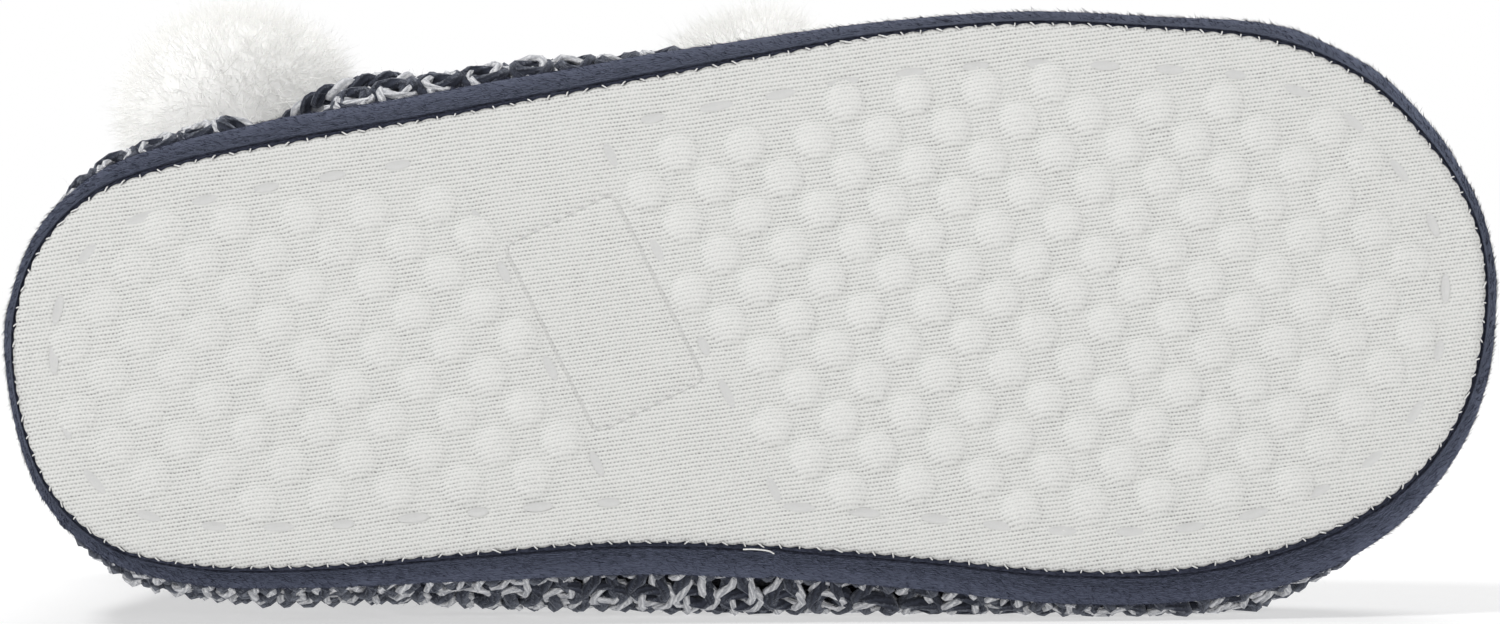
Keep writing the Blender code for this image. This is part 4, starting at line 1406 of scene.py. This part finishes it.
def zone_courses(surface, start, end, back_courses, front_courses):
    """A zone's courses, each as the grid row at every station and where it is drawn. There are more courses
    over the instep than at the heel, so some are short and end at the sides, as in shaped knitting."""
    points, _, places = surface
    count = points.shape[1]
    climbs = np.cumsum(np.linalg.norm(np.diff(points, axis=0), axis=2), axis=0)
    arcs = np.concatenate((np.zeros((1, count)), climbs)).T
    rows = np.arange(len(places))
    first, last = np.interp((start, end), places, rows)
    arc_first = np.array([np.interp(first, rows, arc) for arc in arcs])
    length = np.array([np.interp(last, rows, arc) for arc in arcs]) - arc_first
    toward_front = step_up(shares(count), *FRONT_SHARES)
    full = [(slot + 1) * back_courses // front_courses for slot in range(front_courses)]
    is_full = [number > before for before, number in zip([0, *full], full)]
    shares_up = []
    for slot in range(front_courses):
        back = (min(full[slot] - is_full[slot], back_courses - 1) + 0.5) / back_courses
        shares_up.append(back + ((slot + 0.5) / front_courses - back) * toward_front)
    courses = []
    for slot, share_up in enumerate(shares_up):
        drawn = np.ones(count, dtype=bool)
        if not is_full[slot]:
            beside = is_full.index(True, slot + 1)
            drawn = (shares_up[beside] - share_up) * length > SHORT_COURSE_SPACING * (beside - slot)
        target = arc_first + share_up * length
        courses.append((np.array([np.interp(at, arc, rows) for at, arc in zip(target, arcs)]), drawn))
    return courses


STITCH_WIDTH, STITCH_SAMPLES, COURSE_LEAST = 8.0, 14, 12
LOOP_SWAY, LOOP_HEIGHT, LOOP_DEPTH = 0.235, 0.62, 0.75
HEIGHT_WANDER, DEPTH_WANDER, SWAY_WANDER = 0.06, 0.16, 0.3
YARN_SINK, YARN_FLAT = 1.85, 1.2
END_TUCK, END_REACH, END_THIN = 1.4, 7.0, 0.3


def add_course(parts, surface, row, drawn, rib):
    """One course of knitting: a two-ply yarn that runs in loops, closed or with its ends tucked in."""
    points, normals, _ = surface
    count = points.shape[1]
    shown = np.flatnonzero(drawn)
    if len(shown) < COURSE_LEAST:
        return
    closed = len(shown) == count
    stations = np.arange(shown[0], shown[-1] + (2 if closed else 1))
    run = run_length(sample(points, row[stations % count], stations.astype(float)))
    stitches = max(2, round(run[-1] / STITCH_WIDTH))
    total = stitches * STITCH_SAMPLES
    even = np.linspace(0, run[-1], total, endpoint=not closed)
    station = np.interp(even, run, stations)
    row_at = np.interp(station, np.arange(count + 1), np.append(row, row[0]))
    middle = sample(points, row_at, station)
    normal = unit(sample(normals, row_at, station))
    tangent = tangents(middle, closed)
    upward = unit(np.cross(tangent, normal))
    if upward[:, 2].mean() < 0:
        upward = -upward
    width = run[-1] / stitches
    turn = 2 * math.pi * np.arange(total) / STITCH_SAMPLES
    tall = LOOP_HEIGHT * width * (1 + wandering(total, stitches, HEIGHT_WANDER))
    out = -LOOP_DEPTH * np.cos(2 * turn) - YARN_SINK + wandering(total, 2 * stitches, DEPTH_WANDER)
    out += rib * np.where(np.arange(total) // STITCH_SAMPLES % 2 == 0, 0.5, -0.5)
    if not closed:
        out -= END_TUCK * (1 - step_up(np.minimum(even, run[-1] - even), 0.0, END_REACH))
    sway = LOOP_SWAY * width * np.sin(2 * turn) + wandering(total, stitches, SWAY_WANDER)
    yarn = middle + tangent * sway[:, None] + upward * (tall * np.cos(turn))[:, None] + normal * out[:, None]
    add_plies(parts, above_floor(yarn, YARN_FLAT), normal, closed)


TWIST_LENGTH = 13.5
# Plies of a yarn: radius, distance from its middle, phase, and material, navy or white
PLIES = ((1.18, 0.50, 0.0, 0), (0.72, 0.90, math.pi, 1))
PLY_SIDES, PLY_CLEAR, PLY_WANDER, PLY_WANDER_STEP, PLY_WANDER_LEAST = 5, 0.8, 0.07, 20, 3
FUZZ_SHARE, FUZZ_LENGTH, FUZZ_WIDTH = 0.075, 2.6, 0.055
FUZZ_OUT, FUZZ_STRAY, FUZZ_BEND = 0.9, 0.9, 0.7


def add_plies(parts, yarn, normal, closed):
    """The two plies of a yarn wound round each other, with loose fibres."""
    run = run_length(looped(yarn))
    side, up = across_line(yarn, normal, closed)
    turns = max(1, round(run[-1] / TWIST_LENGTH))
    twist = 2 * math.pi * turns * run[:-1] / run[-1]
    for radius, off_centre, phase, material in PLIES:
        angle = (twist + phase)[:, None]
        line = yarn + off_centre * (np.cos(angle) * up + np.sin(angle) * side)
        line = above_floor(line, radius * PLY_CLEAR)
        knots = max(PLY_WANDER_LEAST, len(line) // PLY_WANDER_STEP)
        thick = radius * (1 + wandering(len(line), knots, PLY_WANDER))
        if not closed:
            from_end = np.minimum(run[:-1], run[-2] - run[:-1])
            thick *= lifted(step_up(from_end, 0.0, END_REACH), END_THIN)
        add_tube(parts, line, thick, PLY_SIDES, up, closed, material)
        picked = RANDOM.random(len(line)) < FUZZ_SHARE
        roots = line[picked]
        out = normal[picked]
        directions = FUZZ_OUT * out + FUZZ_STRAY * RANDOM.normal(size=roots.shape)
        inward = np.minimum((directions * out).sum(axis=1), 0)
        directions -= 2 * inward[:, None] * out
        lengths = radius + FUZZ_LENGTH * RANDOM.random(len(roots))
        bends = RANDOM.normal(size=roots.shape) * FUZZ_BEND
        bends = floor_bends(roots, directions, lengths, bends)
        add_blades(parts, roots, directions, bends, lengths, FUZZ_WIDTH, material=material)


BIND_OFF_LIFT, BIND_OFF_WAVE = 0.4, 0.45


def add_bind_off(parts, surface):
    """The cast-off edge: one yarn that runs round the top of the collar."""
    points, normals, _ = surface
    rim = looped(points[-1] - normals[-1] * YARN_SINK)
    run = run_length(rim)
    total = round(run[-1] / STITCH_WIDTH) * STITCH_SAMPLES
    even = np.linspace(0, run[-1], total, endpoint=False)
    line = straight_points(run, rim, even)
    normal = unit(straight_points(run, looped(normals[-1]), even))
    line[:, 2] += BIND_OFF_LIFT + BIND_OFF_WAVE * np.sin(2 * math.pi * np.arange(total) / STITCH_SAMPLES)
    add_plies(parts, above_floor(line, YARN_FLAT), normal, True)


LINING_OUTER, LINING_INNER, LINING_CLEAR = 4.7, 6.0, 0.6
LINING_STATIONS, LINING_ROWS = 120, 3


def make_lining(surface):
    """The soft lining under the knit: a thin wall open at the collar and above the footbed."""
    points, normals = (grid[::LINING_ROWS, ::KNIT_STATIONS // LINING_STATIONS] for grid in surface[:2])
    outer, inner = (above_floor(points - normals * depth, depth + LINING_CLEAR)
                    for depth in (LINING_OUTER, LINING_INNER))
    rim = (outer[-1:] + inner[-1:]) / 2 + np.array((0.0, 0.0, LINING_CLEAR))
    foot = (outer[:1] + inner[:1]) / 2
    parts = Parts()
    parts.add_grid(np.concatenate((outer, rim, inner[::-1], foot)), True, True)
    merge_points(new_piece("knit_lining", parts, (LINING,), "marled_knit"))


def make_knit():
    """The whole knit, a piece for each zone; the first stands for the upper."""
    surface = knit_surface()
    make_lining(surface)
    for name, (*zone, rib) in KNIT_ZONES.items():
        parts = Parts()
        for row, drawn in zone_courses(surface, *zone):
            add_course(parts, surface, row, drawn, rib)
        if name == "hem":
            add_bind_off(parts, surface)
        replaced = ("upper",) if name == "foot" else ()
        new_piece(f"knit_{name}", parts, (NAVY_YARN, WHITE_YARN), "marled_knit", *replaced)


# Footbed

FOOTBED_STATIONS, FOOTBED_ACROSS, FOOTBED_FILL = 180, 24, 0.9
# How far the footbed's edge is drawn in behind the lining, and its rings: inset and height
FOOTBED_INSET = 2.4
FOOTBED_RINGS = ((0.0, 0.0), (0.0, 2.8), (0.5, 3.6), (1.6, INSOLE_THICKNESS))


def make_footbed():
    """The footbed: a soft pad with a rounded edge inside the boot."""
    count = FOOTBED_STATIONS
    offset = sole_side(SOLE_THICKNESS, count) - sum(drawn_back(count)) - FOOTBED_INSET
    rings = [place(offset_outline(offset - inset, count), SOLE_THICKNESS + GAP + rise)
             for inset, rise in FOOTBED_RINGS]
    parts = Parts()
    parts.add_grid(np.array(rings), wrap_columns=True)
    parts.add_grid(across_ring(rings[0], FOOTBED_ACROSS))
    parts.add_grid(across_ring(rings[-1], FOOTBED_ACROSS), flip=True)
    footbed = new_piece("footbed_pad", parts, (FOOTBED,), "footbed", "insole")
    merge_points(footbed)


def write_sizes():
    """Brings the view layer up to date."""
    bpy.context.view_layer.update()


bpy.context.scene.view_settings.view_transform = "Standard"
make_camera()
make_lights()
make_floor()
for cord_name in CORD_ROUTES:
    make_cord(cord_name, make_pompom(cord_name))
make_sole()
make_tacks()
make_seam_stitches()
make_band()
make_thread_end()
make_knit()
make_footbed()
write_sizes()
